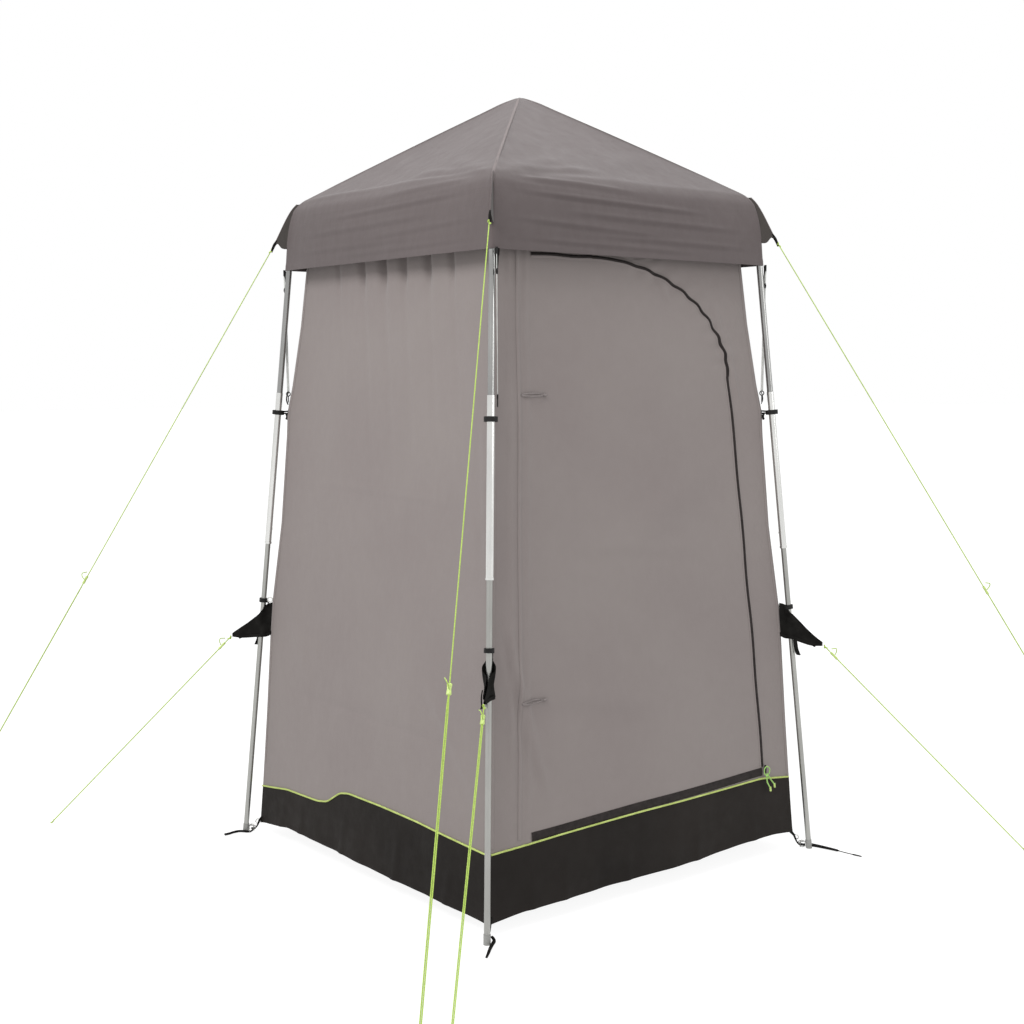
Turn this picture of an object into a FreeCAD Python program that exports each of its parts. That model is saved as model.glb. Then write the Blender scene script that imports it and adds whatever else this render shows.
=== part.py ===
"""Privacy shower tent: a quick-erect frame with a pyramid canopy and a hung fabric cabin.

Millimetres, +Z up, origin on the ground at the middle of the four feet. The door wall faces -Y and the plain
wall beside it faces -X. Every corner is built once in its own frame, with +X outward along the diagonal, and
turned into place. Every wall and canopy face is built once facing -Y and turned into place.
"""

import FreeCAD, Part
import math
import os

from FreeCAD import Vector

os.makedirs("parts", exist_ok=True)

# Overall sizes
PEAK_HEIGHT = 2250.0
FOOT_REACH = 876.0            # from the middle of the tent to a foot, along the diagonal
LEG_TOP_REACH = 698.0         # the same at the top end of the upper leg tube
EAVE_HALF = 485.0
EAVE_HEIGHT = PEAK_HEIGHT - 314.0
LEG_TOP_HEIGHT = EAVE_HEIGHT - 91.0
SHOULDER_HALF = 506.5         # the valance is pushed out over the leg tops
SHOULDER_HEIGHT = EAVE_HEIGHT - 76.0
VALANCE_HALF = 511.5
VALANCE_HEIGHT = EAVE_HEIGHT - 186.0

# Cabin
CABIN_FLOOR_HALF = FOOT_REACH / math.sqrt(2) - 24.1
CABIN_TOP = EAVE_HEIGHT - 136.0
CABIN_TOP_HALF = 460.8
CABIN_LEAN = (CABIN_FLOOR_HALF - CABIN_TOP_HALF) / CABIN_TOP   # how far each wall leans in per unit of height
SKIRT_TOP = 215.0
SKIRT_BOTTOM = 42.0
WALL_THICKNESS = 2.0
SKIRT_THICKNESS = 3.0
CANOPY_THICKNESS = 2.0
BODY_GAP = 0.3                # between pieces on different bodies

# Door, in the door wall
DOOR_FOOT_LEFT = -441.6
DOOR_TOP_LEFT = -345.5
DOOR_FOOT_HEIGHT = 240.0
DOOR_TOP_HEIGHT = CABIN_TOP - 52.0
DOOR_FOOT_RIGHT = 463.0
DOOR_ARC_REACH = 390.0        # where the straight right side meets the arc
DOOR_ARC_START = DOOR_TOP_HEIGHT - 426.0
DOOR_GAP = 1.0
ZIP_WIDTH = 9.0
ZIP_THICKNESS = 2.4
ZIP_STANDOFF = 0.4
SLIDER_SIZE = (14.0, 6.0, 22.0)
TOGGLE_LENGTH = 62.0
TOGGLE_WIDTH = 9.0
TOGGLE_HEIGHTS = (583.0, 1379.0)

# Legs
UPPER_TUBE_D = 18.0
UPPER_TUBE_WALL = 0.8
SLEEVE_D = 20.4
SLEEVE_BOTTOM = 915.0
SLEEVE_TOP = 1380.0
SLEEVE_OVERLAP = 100.0        # of the upper tube inside the sleeve
SLEEVE_RING_D = 22.6
SLEEVE_RING_HEIGHT = 6.0
LOWER_TUBE_D = 16.0
LOWER_TUBE_WALL = 1.0
LOWER_OVERLAP = 135.0         # of the lower tube inside the sleeve
RUNNING_GAP = 0.08            # radial, at the sleeve's ring and round each pin
BUTTON_D = 5.0
BUTTON_HEIGHT = 962.0
BUTTON_PROUD = 2.6
BUTTON_INSIDE = 6.3           # from the tube's axis to the button's inner end
FOOT_D = 18.6
FOOT_HEIGHT = 26.0
FOOT_SOLE = 9.0
FOOT_PIN_D = 3.6
FOOT_PIN_REACH = 24.0
FOOT_PIN_HEIGHT = 20.0

# Roof frame
HUB_PIN_REACH = 40.0
HUB_PIN_HEIGHT = PEAK_HEIGHT - 36.0
KNUCKLE_PIN_REACH = 668.0
KNUCKLE_PIN_HEIGHT = EAVE_HEIGHT - 31.0
PIN_D = 5.0
ARM_D = 16.0
ARM_WALL = 1.2
EYE_THICKNESS = 8.0
EYE_R = 8.0
EYE_NECK = 36.0               # from the pin to the end of the arm tube
EYE_PLUG = 22.0               # of the eye's stem inside the arm tube
EAR_GAP = 0.15
EAR_THICKNESS = 4.0
EAR_R = 9.0
HUB_CORE_R = 26.0
HUB_FLOOR = HUB_PIN_HEIGHT - 18.0
HUB_TOP = HUB_PIN_HEIGHT + 8.0
CROWN_R = 25.0
CROWN_RIM = 4.0
CROWN_TOP_R = 7.0
CROWN_HEIGHT = 20.0

# Fixings at each corner
CLIP_HEIGHT = 1320.0
CLIP_D = 36.0
CLIP_TALL = 13.0
TAB_RING_HEIGHT = 738.0
TAB_RING_D = 27.0
TAB_RING_TALL = 12.0
TAB_TIP_REACH = FOOT_REACH + 33.0
TAB_TIP_HEIGHT = 624.0
TAB_SPREAD = 12.0             # sideways, where the tab's two layers pass the leg
WEB_THICKNESS = 1.6
WEB_GAP = 1.5                 # from the cabin's corner to the webbing sewn to it
FLAP_TIP_REACH = 758.0
FLAP_TIP_HEIGHT = EAVE_HEIGHT - 118.0
TIE_TOP_HEIGHT = EAVE_HEIGHT - 201.0
TIE_BOTTOM_HEIGHT = CLIP_HEIGHT + 64.0
TIE_SIDE = 14.0
TIE_WIDTH = 8.0
RING_WIRE_D = 3.0
RING_D = 20.0
PEG_WEB_WIDTH = 7.0
PEG_WEB_THICKNESS = 2.4

# Guylines
CORD_D = 3.0
UPPER_GUY_REACH = FOOT_REACH + 979.0
LOWER_GUY_REACH = FOOT_REACH + 639.0
GROUND_CORD_HEIGHT = 8.0
GUY_EXIT_GAP = 3.0
UPPER_SLIDER_SHARE = 0.565    # of the way down the upper guyline
LOWER_SLIDER_SHARE = 0.05
SLIDER_BORE_GAP = 0.3
GUY_SLIDER_SIZE = (26.0, 12.0, 8.0)

CORNERS = {"right": -45.0, "rear": 45.0, "left": 135.0, "front": 225.0}
FACES = {"front": 0.0, "right": 90.0, "back": 180.0, "left": 270.0}
TIE_SIGN = {"right": 1.0, "rear": -1.0, "left": -1.0, "front": 1.0}
PEG_ENDS = {"left": (-694.0, 617.0), "right": (664.0, -781.0), "front": (-680.0, -695.0), "rear": (694.0, 781.0)}
GUYED_CORNERS = ("front", "left", "right")
UPPER_GUY_TURN = {"front": -0.7, "left": 0.0, "right": 0.0}

UP = Vector(0, 0, 1)
written = []


def save(node, *solids):
    """Write one node as its separate solids."""
    for solid in solids:
        if not solid.isValid() or solid.Volume <= 0:
            raise ValueError(node + " has a bad solid")
    shape = solids[0] if len(solids) == 1 else Part.makeCompound(list(solids))
    shape.exportStep("parts/" + node + ".step")
    written.append((node, len(solids), sum(s.Volume for s in solids)))


def one(shape):
    """The single solid of a boolean's result."""
    solids = shape.removeSplitter().Solids
    if len(solids) != 1:
        raise ValueError("expected one solid, got %d" % len(solids))
    return solids[0]


def turned(shape, degrees):
    copy = shape.copy()
    copy.rotate(Vector(0, 0, 0), UP, degrees)
    return copy


def rod(start, end, radius):
    """A round bar from one point to another."""
    run = end - start
    return Part.makeCylinder(radius, run.Length, start, run)


def tube(start, end, outer_r, inner_r):
    return rod(start, end, outer_r).cut(rod(start, end, inner_r))


def prism(points, direction):
    """A closed outline pushed along a direction."""
    return Part.Face(Part.makePolygon(points + [points[0]])).extrude(direction)


def upright_plate(outline, half_width, offset=0.0):
    """A plate in the corner's diagonal plane, from (reach, height) points."""
    points = [Vector(r, offset - half_width, z) for r, z in outline]
    return prism(points, Vector(0, 2 * half_width, 0))


# The leg's line

LEG_SLOPE = (FOOT_REACH - LEG_TOP_REACH) / LEG_TOP_HEIGHT
LEG_UP = Vector(-LEG_SLOPE, 0, 1).normalize()
LEG_OUT = Vector(LEG_UP.z, 0, -LEG_UP.x)


def leg_reach(height):
    return FOOT_REACH - LEG_SLOPE * height


def on_leg(height):
    return Vector(leg_reach(height), 0, height)


def leg_ring(height, tall, outer_r, inner_r):
    """A ring round the leg's axis, its middle at a height."""
    half = LEG_UP * (tall / 2)
    return tube(on_leg(height) - half, on_leg(height) + half, outer_r, inner_r)


# Roof frame

def hub():
    """The hub: a core with a fork for each arm."""
    body = Part.makeCylinder(HUB_CORE_R, HUB_TOP - HUB_FLOOR, Vector(0, 0, HUB_FLOOR))
    inner = EYE_THICKNESS / 2 + EAR_GAP
    for angle in CORNERS.values():
        for side in (-1, 1):
            middle = side * (inner + EAR_THICKNESS / 2)
            ear = upright_plate(
                [(0, HUB_FLOOR), (HUB_PIN_REACH, HUB_PIN_HEIGHT - EAR_R),
                 (HUB_PIN_REACH, HUB_PIN_HEIGHT + EAR_R - 1), (0, HUB_TOP)], EAR_THICKNESS / 2, middle)
            tip = Part.makeCylinder(EAR_R, EAR_THICKNESS,
                                    Vector(HUB_PIN_REACH, middle - EAR_THICKNESS / 2, HUB_PIN_HEIGHT),
                                    Vector(0, 1, 0))
            body = body.fuse(turned(ear.fuse(tip), angle))
    for angle in CORNERS.values():
        slot = Part.makeBox(HUB_PIN_REACH + EAR_R, 2 * inner, 60,
                            Vector(HUB_PIN_REACH - EYE_R - 3, -inner, HUB_PIN_HEIGHT - 30))
        body = body.cut(turned(slot, angle)).cut(turned(hub_pin(), angle))
    return one(body)


def pin(reach, height, length):
    return Part.makeCylinder(PIN_D / 2, length, Vector(reach, -length / 2, height), Vector(0, 1, 0))


def hub_pin():
    return pin(HUB_PIN_REACH, HUB_PIN_HEIGHT, EYE_THICKNESS + 2 * (EAR_GAP + EAR_THICKNESS))


def crown():
    """The dome that holds the canopy's peak up."""
    rim = Part.makeCylinder(CROWN_R, CROWN_RIM, Vector(0, 0, HUB_TOP))
    dome = Part.makeCone(CROWN_R, CROWN_TOP_R, CROWN_HEIGHT - CROWN_RIM, Vector(0, 0, HUB_TOP + CROWN_RIM))
    return one(rim.fuse(dome))


def arm_ends():
    return (Vector(HUB_PIN_REACH, 0, HUB_PIN_HEIGHT), Vector(KNUCKLE_PIN_REACH, 0, KNUCKLE_PIN_HEIGHT))


def arm_eye(centre, along):
    """A flat eye on a round stem that fills the end of the arm tube."""
    disc = Part.makeCylinder(EYE_R, EYE_THICKNESS, centre - Vector(0, EYE_THICKNESS / 2, 0), Vector(0, 1, 0))
    across = Vector(-along.z, 0, along.x) * (EYE_R - 1)
    side = Vector(0, EYE_THICKNESS / 2, 0)
    tip = centre + along * EYE_NECK
    neck = prism([centre - across - side, tip - across - side, tip + across - side, centre + across - side],
                 Vector(0, EYE_THICKNESS, 0))
    stem = rod(tip, tip + along * EYE_PLUG, ARM_D / 2 - ARM_WALL)
    hole = Part.makeCylinder(PIN_D / 2 + RUNNING_GAP, EYE_THICKNESS + 2,
                             centre - Vector(0, EYE_THICKNESS / 2 + 1, 0), Vector(0, 1, 0))
    return one(disc.fuse(neck).fuse(stem).cut(hole))


def roof_arm():
    inner, outer = arm_ends()
    along = (outer - inner).normalize()
    barrel = tube(inner + along * EYE_NECK, outer - along * EYE_NECK, ARM_D / 2, ARM_D / 2 - ARM_WALL)
    return barrel, arm_eye(inner, along), arm_eye(outer, along * -1)


# Legs

def knuckle():
    """The plug in the leg's top end, with the fork for the roof arm, and the fork's pin."""
    top = on_leg(LEG_TOP_HEIGHT)
    plug = rod(top - LEG_UP * 30, top, UPPER_TUBE_D / 2 - UPPER_TUBE_WALL)
    cap = rod(top, top + LEG_UP * 8, UPPER_TUBE_D / 2)
    inner = EYE_THICKNESS / 2 + EAR_GAP
    outline = [(leg_reach(LEG_TOP_HEIGHT) - 9, LEG_TOP_HEIGHT + 2), (leg_reach(LEG_TOP_HEIGHT) + 8, LEG_TOP_HEIGHT + 4),
               (KNUCKLE_PIN_REACH + 10, KNUCKLE_PIN_HEIGHT + 6), (KNUCKLE_PIN_REACH, KNUCKLE_PIN_HEIGHT + EAR_R),
               (KNUCKLE_PIN_REACH - EAR_R, KNUCKLE_PIN_HEIGHT), (KNUCKLE_PIN_REACH - 4, KNUCKLE_PIN_HEIGHT - EAR_R)]
    body = plug.fuse(cap)
    for side in (-1, 1):
        body = body.fuse(upright_plate(outline, EAR_THICKNESS / 2, side * (inner + EAR_THICKNESS / 2)))
    bridge = upright_plate([(leg_reach(LEG_TOP_HEIGHT) - 9, LEG_TOP_HEIGHT + 2),
                            (leg_reach(LEG_TOP_HEIGHT) + 8, LEG_TOP_HEIGHT + 4),
                            (KNUCKLE_PIN_REACH + 20, KNUCKLE_PIN_HEIGHT - 24),
                            (KNUCKLE_PIN_REACH + 19, KNUCKLE_PIN_HEIGHT - 26)], inner + 1)
    fork_pin = pin(KNUCKLE_PIN_REACH, KNUCKLE_PIN_HEIGHT, EYE_THICKNESS + 2 * (EAR_GAP + EAR_THICKNESS))
    return one(body.fuse(bridge).cut(fork_pin)), fork_pin


def upper_leg():
    low = SLEEVE_TOP - SLEEVE_OVERLAP
    return tube(on_leg(low), on_leg(LEG_TOP_HEIGHT), UPPER_TUBE_D / 2, UPPER_TUBE_D / 2 - UPPER_TUBE_WALL)


def leg_sleeve():
    """The wider middle section, with the ring that guides the lower tube."""
    bottom = on_leg(SLEEVE_BOTTOM)
    ring_top = bottom + LEG_UP * SLEEVE_RING_HEIGHT
    ring = tube(bottom, ring_top, SLEEVE_RING_D / 2, LOWER_TUBE_D / 2 + RUNNING_GAP)
    barrel = tube(ring_top, on_leg(SLEEVE_TOP), SLEEVE_D / 2, UPPER_TUBE_D / 2)
    return one(ring.fuse(barrel).cut(button_hole()))


def lower_leg():
    top = on_leg(SLEEVE_BOTTOM + LOWER_OVERLAP)
    barrel = tube(on_leg(FOOT_SOLE), top, LOWER_TUBE_D / 2, LOWER_TUBE_D / 2 - LOWER_TUBE_WALL)
    return one(barrel.cut(button_hole()))


def button_hole():
    start = on_leg(BUTTON_HEIGHT)
    return rod(start, start - LEG_OUT * SLEEVE_D, BUTTON_D / 2 + RUNNING_GAP)


def lock_button():
    """The snap button, with a rounded head, on the side of the leg that faces the cabin."""
    middle = on_leg(BUTTON_HEIGHT)
    head = SLEEVE_D / 2 + BUTTON_PROUD
    stem = rod(middle - LEG_OUT * BUTTON_INSIDE, middle - LEG_OUT * head, BUTTON_D / 2)
    rim = max(stem.Edges, key=lambda e: e.CenterOfMass.dot(LEG_OUT * -1))
    return one(stem.makeFillet(BUTTON_D * 0.3, [rim]))


def foot():
    """The end plug, flat on the ground, and the bent wire pin that the corner ring hangs on."""
    boot = rod(on_leg(-FOOT_HEIGHT), on_leg(FOOT_HEIGHT), FOOT_D / 2)
    bore = rod(on_leg(FOOT_SOLE), on_leg(FOOT_HEIGHT * 2), LOWER_TUBE_D / 2)
    ground = Part.makeBox(200, 200, 200, Vector(FOOT_REACH - 100, -100, -200))
    boot = one(boot.cut(bore).cut(ground))
    root = Vector(leg_reach(FOOT_PIN_HEIGHT) - FOOT_D / 2 - 0.3, 0, FOOT_PIN_HEIGHT)
    elbow = Vector(leg_reach(FOOT_PIN_HEIGHT) - FOOT_PIN_REACH, 0, FOOT_PIN_HEIGHT)
    wire = rod(root, elbow, FOOT_PIN_D / 2).fuse(Part.makeSphere(FOOT_PIN_D / 2, elbow))
    wire = wire.fuse(rod(elbow, elbow - UP * (FOOT_PIN_HEIGHT - 3), FOOT_PIN_D / 2))
    return boot, one(wire.cut(boot))


# Fabric and webbing at each corner

def cabin_half(height):
    return CABIN_FLOOR_HALF - CABIN_LEAN * height


def cabin_corner(height):
    """How far out the cabin's corner stands, along the diagonal."""
    return cabin_half(height) * math.sqrt(2)


def corner_flap():
    """The canopy's corner tab, pulled out by the upper guyline."""
    root = [(EAVE_HALF, EAVE_HEIGHT), (SHOULDER_HALF, SHOULDER_HEIGHT), (SHOULDER_HALF + 3, SHOULDER_HEIGHT - 44)]
    inner = [(half * math.sqrt(2) + 2.5, height) for half, height in root]
    outer = [(FLAP_TIP_REACH - 17, FLAP_TIP_HEIGHT + 18), (FLAP_TIP_REACH, FLAP_TIP_HEIGHT),
             (FLAP_TIP_REACH - 2, FLAP_TIP_HEIGHT + 6)]
    return one(upright_plate(inner + outer, 1.5))


def mid_tab():
    """The two layers of the tab, either side of the leg, that meet at its tip."""
    height = (TAB_TIP_HEIGHT + TAB_RING_HEIGHT) / 2
    leg = leg_reach(height)
    low = TAB_TIP_HEIGHT - 4
    high = TAB_TIP_HEIGHT + 108
    root = cabin_corner(high)
    outline = [(root + WEB_GAP, high), (leg + 8, high - 26), (TAB_TIP_REACH, TAB_TIP_HEIGHT + 4),
               (TAB_TIP_REACH, low), (cabin_corner(low) + WEB_GAP, low)]
    window = upright_plate(outline, 2 * TAB_SPREAD)
    layers = []
    for side in (-1, 1):
        near, far = side * 1.0, side * TAB_SPREAD
        line = [(root, near), (leg - 9, far), (leg + 9, far), (TAB_TIP_REACH - 2, near)]
        back = [(r, t - side * WEB_THICKNESS) for r, t in line]
        back[0], back[-1] = (root, near - side * 0.8), (TAB_TIP_REACH - 2, near - side * 0.8)
        plan = [Vector(r, t, low) for r, t in line + back[::-1]]
        layers.append(one(prism(plan, UP * 130).common(window)))
    return layers


def tail_strap():
    """The free end of the mid tab's webbing, hanging below it."""
    reach = leg_reach(TAB_TIP_HEIGHT) + 24
    return Part.makeBox(12, WEB_THICKNESS, 32, Vector(reach, -TAB_SPREAD - 4, TAB_TIP_HEIGHT - 26))


def clip_strap():
    """The webbing from the head-height clip to the cabin's corner."""
    start = cabin_corner(CLIP_HEIGHT) + WEB_GAP
    end = leg_reach(CLIP_HEIGHT) - CLIP_D / 2 - 0.3
    return Part.makeBox(end - start, WEB_THICKNESS, CLIP_TALL - 1,
                        Vector(start, -WEB_THICKNESS / 2, CLIP_HEIGHT - CLIP_TALL / 2 + 0.5))


def tie_line(sign):
    """The top and bottom of the canopy tie's middle line."""
    top = Vector(leg_reach(TIE_TOP_HEIGHT) + 17, sign * TIE_SIDE, TIE_TOP_HEIGHT)
    bottom = Vector(leg_reach(TIE_BOTTOM_HEIGHT) - 23, sign * TIE_SIDE, TIE_BOTTOM_HEIGHT)
    return top, bottom


def canopy_tie(sign):
    """The light elastic strap from the canopy's corner down to its hook."""
    top, bottom = tie_line(sign)
    half = TIE_WIDTH / 2
    outline = [(bottom.x - half, bottom.z), (bottom.x + half, bottom.z), (top.x + half, top.z), (top.x - half, top.z)]
    return upright_plate(outline, WEB_THICKNESS / 2, sign * TIE_SIDE)


def tie_hook(sign):
    """The hook at the tie's lower end: a ring and a stem."""
    bottom = tie_line(sign)[1]
    centre = bottom - UP * (RING_D / 2 - 2)
    ring = Part.makeTorus(RING_D / 2 - 4, RING_WIRE_D / 2, centre, Vector(0, 1, 0))
    stem = rod(centre - UP * (RING_D / 2 - 4), centre - UP * 26, RING_WIRE_D / 2)
    clear = canopy_tie(sign)
    return one(ring.fuse(stem).cut(clear))


def tie_toggle(sign):
    """The black toggle at the tie's upper end."""
    top = tie_line(sign)[0]
    return rod(top + UP * 0.2, top + UP * 18.0, 3.6)


def foot_strap():
    """The webbing from the skirt's corner down to the foot's ring."""
    start = Vector(cabin_corner(SKIRT_BOTTOM) + 2, 0, SKIRT_BOTTOM)
    end = Vector(foot_ring_centre().x - RING_D / 2 - 1.8, 0, 12)
    outline = [(start.x, start.z - 6), (start.x, start.z + 3), (end.x, end.z + 1), (end.x, end.z - 1)]
    return upright_plate(outline, 5.0)


def foot_ring_centre():
    return Vector(leg_reach(FOOT_PIN_HEIGHT) - FOOT_PIN_REACH + 1, 0, 11)


def foot_ring():
    """The steel ring that lies round the foot's pin."""
    return Part.makeTorus(RING_D / 2 - 3, RING_WIRE_D / 2, foot_ring_centre(), UP)


def peg_web(corner, angle):
    """The black peg loop's webbing, flat on the ground beside the foot."""
    end = turned(Part.Vertex(*PEG_ENDS[corner], 0), -angle).Point
    start = Vector(foot_ring_centre().x, RING_D / 2 + 8, 0)
    bend = Vector(FOOT_REACH + 14, RING_D / 2 + 4, 0)
    band = None
    for a, b in ((start, bend), (bend, end)):
        run = b - a
        across = Vector(-run.y, run.x, 0).normalize() * (PEG_WEB_WIDTH / 2)
        piece = prism([a - across, b - across, b + across, a + across], UP * PEG_WEB_THICKNESS)
        piece = piece.fuse(Part.makeCylinder(PEG_WEB_WIDTH / 2, PEG_WEB_THICKNESS, b))
        band = piece if band is None else band.fuse(piece)
    return one(band)


def leg_clip():
    """The black clip round the leg at head height."""
    return leg_ring(CLIP_HEIGHT, CLIP_TALL, CLIP_D / 2, SLEEVE_D / 2)


def tab_ring():
    """The ring of the mid tab, that the lower tube slides through."""
    return leg_ring(TAB_RING_HEIGHT, TAB_RING_TALL, TAB_RING_D / 2, LOWER_TUBE_D / 2 + 1.0)


# Canopy and cabin faces, built facing -Y

def wedge(clearance):
    """The quarter of the plan that faces -Y, kept back from its neighbours."""
    back = clearance * math.sqrt(2)
    far = 2000.0
    points = [Vector(0, -back, -100), Vector(-far, -back - far, -100), Vector(far, -back - far, -100)]
    return prism(points, UP * 3000)


def face_plate(low_half, low, high_half, high, thickness):
    """A leaning plate that faces -Y, from one height to another."""
    outline = [Vector(-low_half, -low_half, low), Vector(low_half, -low_half, low),
               Vector(high_half, -high_half, high), Vector(-high_half, -high_half, high)]
    if high_half < 1:
        outline = outline[:2] + [Vector(0, 0, high)]
    normal = (outline[1] - outline[0]).cross(outline[2] - outline[1]).normalize()
    return prism(outline, normal * -thickness).common(wedge(BODY_GAP / 2))


def canopy_face():
    """One sewn face: the roof's triangle, and the valance below the eave."""
    roof = face_plate(EAVE_HALF, EAVE_HEIGHT, 0, PEAK_HEIGHT, CANOPY_THICKNESS)
    shoulder = face_plate(SHOULDER_HALF, SHOULDER_HEIGHT, EAVE_HALF, EAVE_HEIGHT, CANOPY_THICKNESS)
    skirt = face_plate(VALANCE_HALF, VALANCE_HEIGHT, SHOULDER_HALF, SHOULDER_HEIGHT, CANOPY_THICKNESS)
    valance = one(shoulder.fuse(skirt))
    return one(roof.cut(valance)), valance


def wall_plates():
    """The wall and its skirt, edge to edge."""
    wall = face_plate(cabin_half(SKIRT_TOP), SKIRT_TOP, cabin_half(CABIN_TOP), CABIN_TOP, WALL_THICKNESS)
    skirt = face_plate(cabin_half(SKIRT_BOTTOM), SKIRT_BOTTOM, cabin_half(SKIRT_TOP), SKIRT_TOP, SKIRT_THICKNESS)
    return one(wall), one(skirt.cut(wall))


def door_outline(grow):
    """The door's D in the XZ plane, larger all round by grow."""
    foot_left = Vector(DOOR_FOOT_LEFT, 0, DOOR_FOOT_HEIGHT)
    foot_right = Vector(DOOR_FOOT_RIGHT, 0, DOOR_FOOT_HEIGHT)
    arc_start = Vector(DOOR_ARC_REACH, 0, DOOR_ARC_START)
    radius = DOOR_TOP_HEIGHT - DOOR_ARC_START
    arc_centre = Vector(DOOR_ARC_REACH - radius, 0, DOOR_ARC_START)
    arc_end = arc_centre + UP * radius
    middle = arc_centre + Vector(radius, 0, radius) * math.sqrt(0.5)
    top_left = Vector(DOOR_TOP_LEFT, 0, DOOR_TOP_HEIGHT)
    edges = [Part.LineSegment(foot_left, foot_right).toShape(), Part.LineSegment(foot_right, arc_start).toShape(),
             Part.Arc(arc_start, middle, arc_end).toShape(), Part.LineSegment(arc_end, top_left).toShape(),
             Part.LineSegment(top_left, foot_left).toShape()]
    face = Part.Face(Part.Wire(edges))
    return face if grow == 0 else Part.Face(face.OuterWire.makeOffset2D(grow))


def door_prism(grow):
    outline = door_outline(grow)
    outline.translate(Vector(0, -CABIN_FLOOR_HALF - 100, 0))
    return outline.extrude(Vector(0, 300, 0))


def layer_on_wall(standoff, thickness):
    """A sheet over the outside of the door wall."""
    half = [cabin_half(height) + standoff + thickness for height in (SKIRT_TOP, CABIN_TOP)]
    outline = [Vector(-half[0], -half[0], SKIRT_TOP), Vector(half[0], -half[0], SKIRT_TOP),
               Vector(half[1], -half[1], CABIN_TOP), Vector(-half[1], -half[1], CABIN_TOP)]
    return prism(outline, Vector(0, thickness, 0))


def door_wall():
    wall, skirt = wall_plates()
    return one(wall.cut(door_prism(0))), skirt


def door_panel():
    sheet = face_plate(cabin_half(SKIRT_TOP), SKIRT_TOP, cabin_half(CABIN_TOP), CABIN_TOP, WALL_THICKNESS)
    return one(sheet.common(door_prism(-DOOR_GAP)))


def door_left(height):
    share = (height - DOOR_FOOT_HEIGHT) / (DOOR_TOP_HEIGHT - DOOR_FOOT_HEIGHT)
    return DOOR_FOOT_LEFT + share * (DOOR_TOP_LEFT - DOOR_FOOT_LEFT)


def door_zip():
    """The zip round the bottom, the right side and the top, over the door's edge."""
    band = door_prism(ZIP_WIDTH / 2).cut(door_prism(-ZIP_WIDTH / 2))
    hinge_side = prism([Vector(door_left(z) + x, -CABIN_FLOOR_HALF - 200, z) for x, z in
                        ((-90, 100), (ZIP_WIDTH, 100), (ZIP_WIDTH, 1900), (-90, 1900))], Vector(0, 500, 0))
    return one(band.common(layer_on_wall(ZIP_STANDOFF, ZIP_THICKNESS)).cut(hinge_side))


def zip_slider():
    """The slider, standing on the zip at the door's lower right corner."""
    height = DOOR_FOOT_HEIGHT + SLIDER_SIZE[2]
    out = cabin_half(height) + ZIP_STANDOFF + ZIP_THICKNESS + BODY_GAP + CABIN_LEAN * SLIDER_SIZE[2]
    body = Part.makeBox(*SLIDER_SIZE, Vector(DOOR_FOOT_RIGHT - SLIDER_SIZE[0] / 2, -out - SLIDER_SIZE[1],
                                             height - SLIDER_SIZE[2] / 2))
    return one(body.makeFillet(2.0, body.Edges))


def door_toggles():
    """Two loops on the door's hinge side that tie the rolled door back."""
    loops = []
    for height in TOGGLE_HEIGHTS:
        start = door_left(height) + 3
        out = cabin_half(height) + BODY_GAP + CABIN_LEAN * TOGGLE_WIDTH
        strip = Part.makeBox(TOGGLE_LENGTH, WEB_THICKNESS, TOGGLE_WIDTH,
                             Vector(start, -out - WEB_THICKNESS, height - TOGGLE_WIDTH / 2))
        loops.append(strip)
    return loops


# Guylines

def guy_points(start, reach, turn):
    """The two ends of a taut guyline, in its corner's frame."""
    end = Vector(reach * math.cos(math.radians(turn)), reach * math.sin(math.radians(turn)), GROUND_CORD_HEIGHT)
    away = (end - start).normalize()
    return start + away * GUY_EXIT_GAP, end


def upper_guy(corner):
    return guy_points(Vector(FLAP_TIP_REACH, 0, FLAP_TIP_HEIGHT), UPPER_GUY_REACH, UPPER_GUY_TURN[corner])


def lower_guy():
    return guy_points(Vector(TAB_TIP_REACH, 0, TAB_TIP_HEIGHT), LOWER_GUY_REACH, 0.0)


def guy_cord(node, ends):
    cord = rod(ends[0], ends[1], CORD_D / 2)
    section = math.pi * CORD_D ** 2 / 4
    print("%s: straight, %.0f mm long, volume / (section x length) %.4f"
          % (node, (ends[1] - ends[0]).Length, cord.Volume / (section * (ends[1] - ends[0]).Length)))
    return cord


def guy_slider(ends, share):
    """A small plastic slider on the cord."""
    run = ends[1] - ends[0]
    along = Vector(run).normalize()
    centre = ends[0] + run * share
    length, width, thickness = GUY_SLIDER_SIZE
    across = UP.cross(along).normalize()
    over = along.cross(across)
    corner = centre - along * (length / 2) - across * (width / 2) - over * (thickness / 2)
    outline = [corner, corner + across * width, corner + across * width + over * thickness, corner + over * thickness]
    body = prism(outline, along * length)
    return one(body.cut(rod(ends[0], ends[1], CORD_D / 2 + SLIDER_BORE_GAP)))


def build_corner(name, angle):
    sign = TIE_SIGN[name]
    placed = lambda *shapes: [turned(shape, angle) for shape in shapes]
    save("roof_arm_" + name, *placed(*roof_arm()))
    save("knuckle_" + name, *placed(*knuckle()))
    save("upper_leg_" + name, *placed(upper_leg()))
    save("leg_sleeve_" + name, *placed(leg_sleeve()))
    save("lower_leg_" + name, *placed(lower_leg()))
    save("foot_" + name, *placed(*foot()))
    save("lock_button_" + name, *placed(lock_button()))
    save("corner_webbing_" + name, *placed(corner_flap(), *mid_tab(), tail_strap(), clip_strap(),
                                           canopy_tie(sign), foot_strap(), peg_web(name, angle)))
    save("corner_clips_" + name, *placed(leg_clip(), tab_ring(), tie_toggle(sign), tie_hook(sign), foot_ring()))


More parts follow.
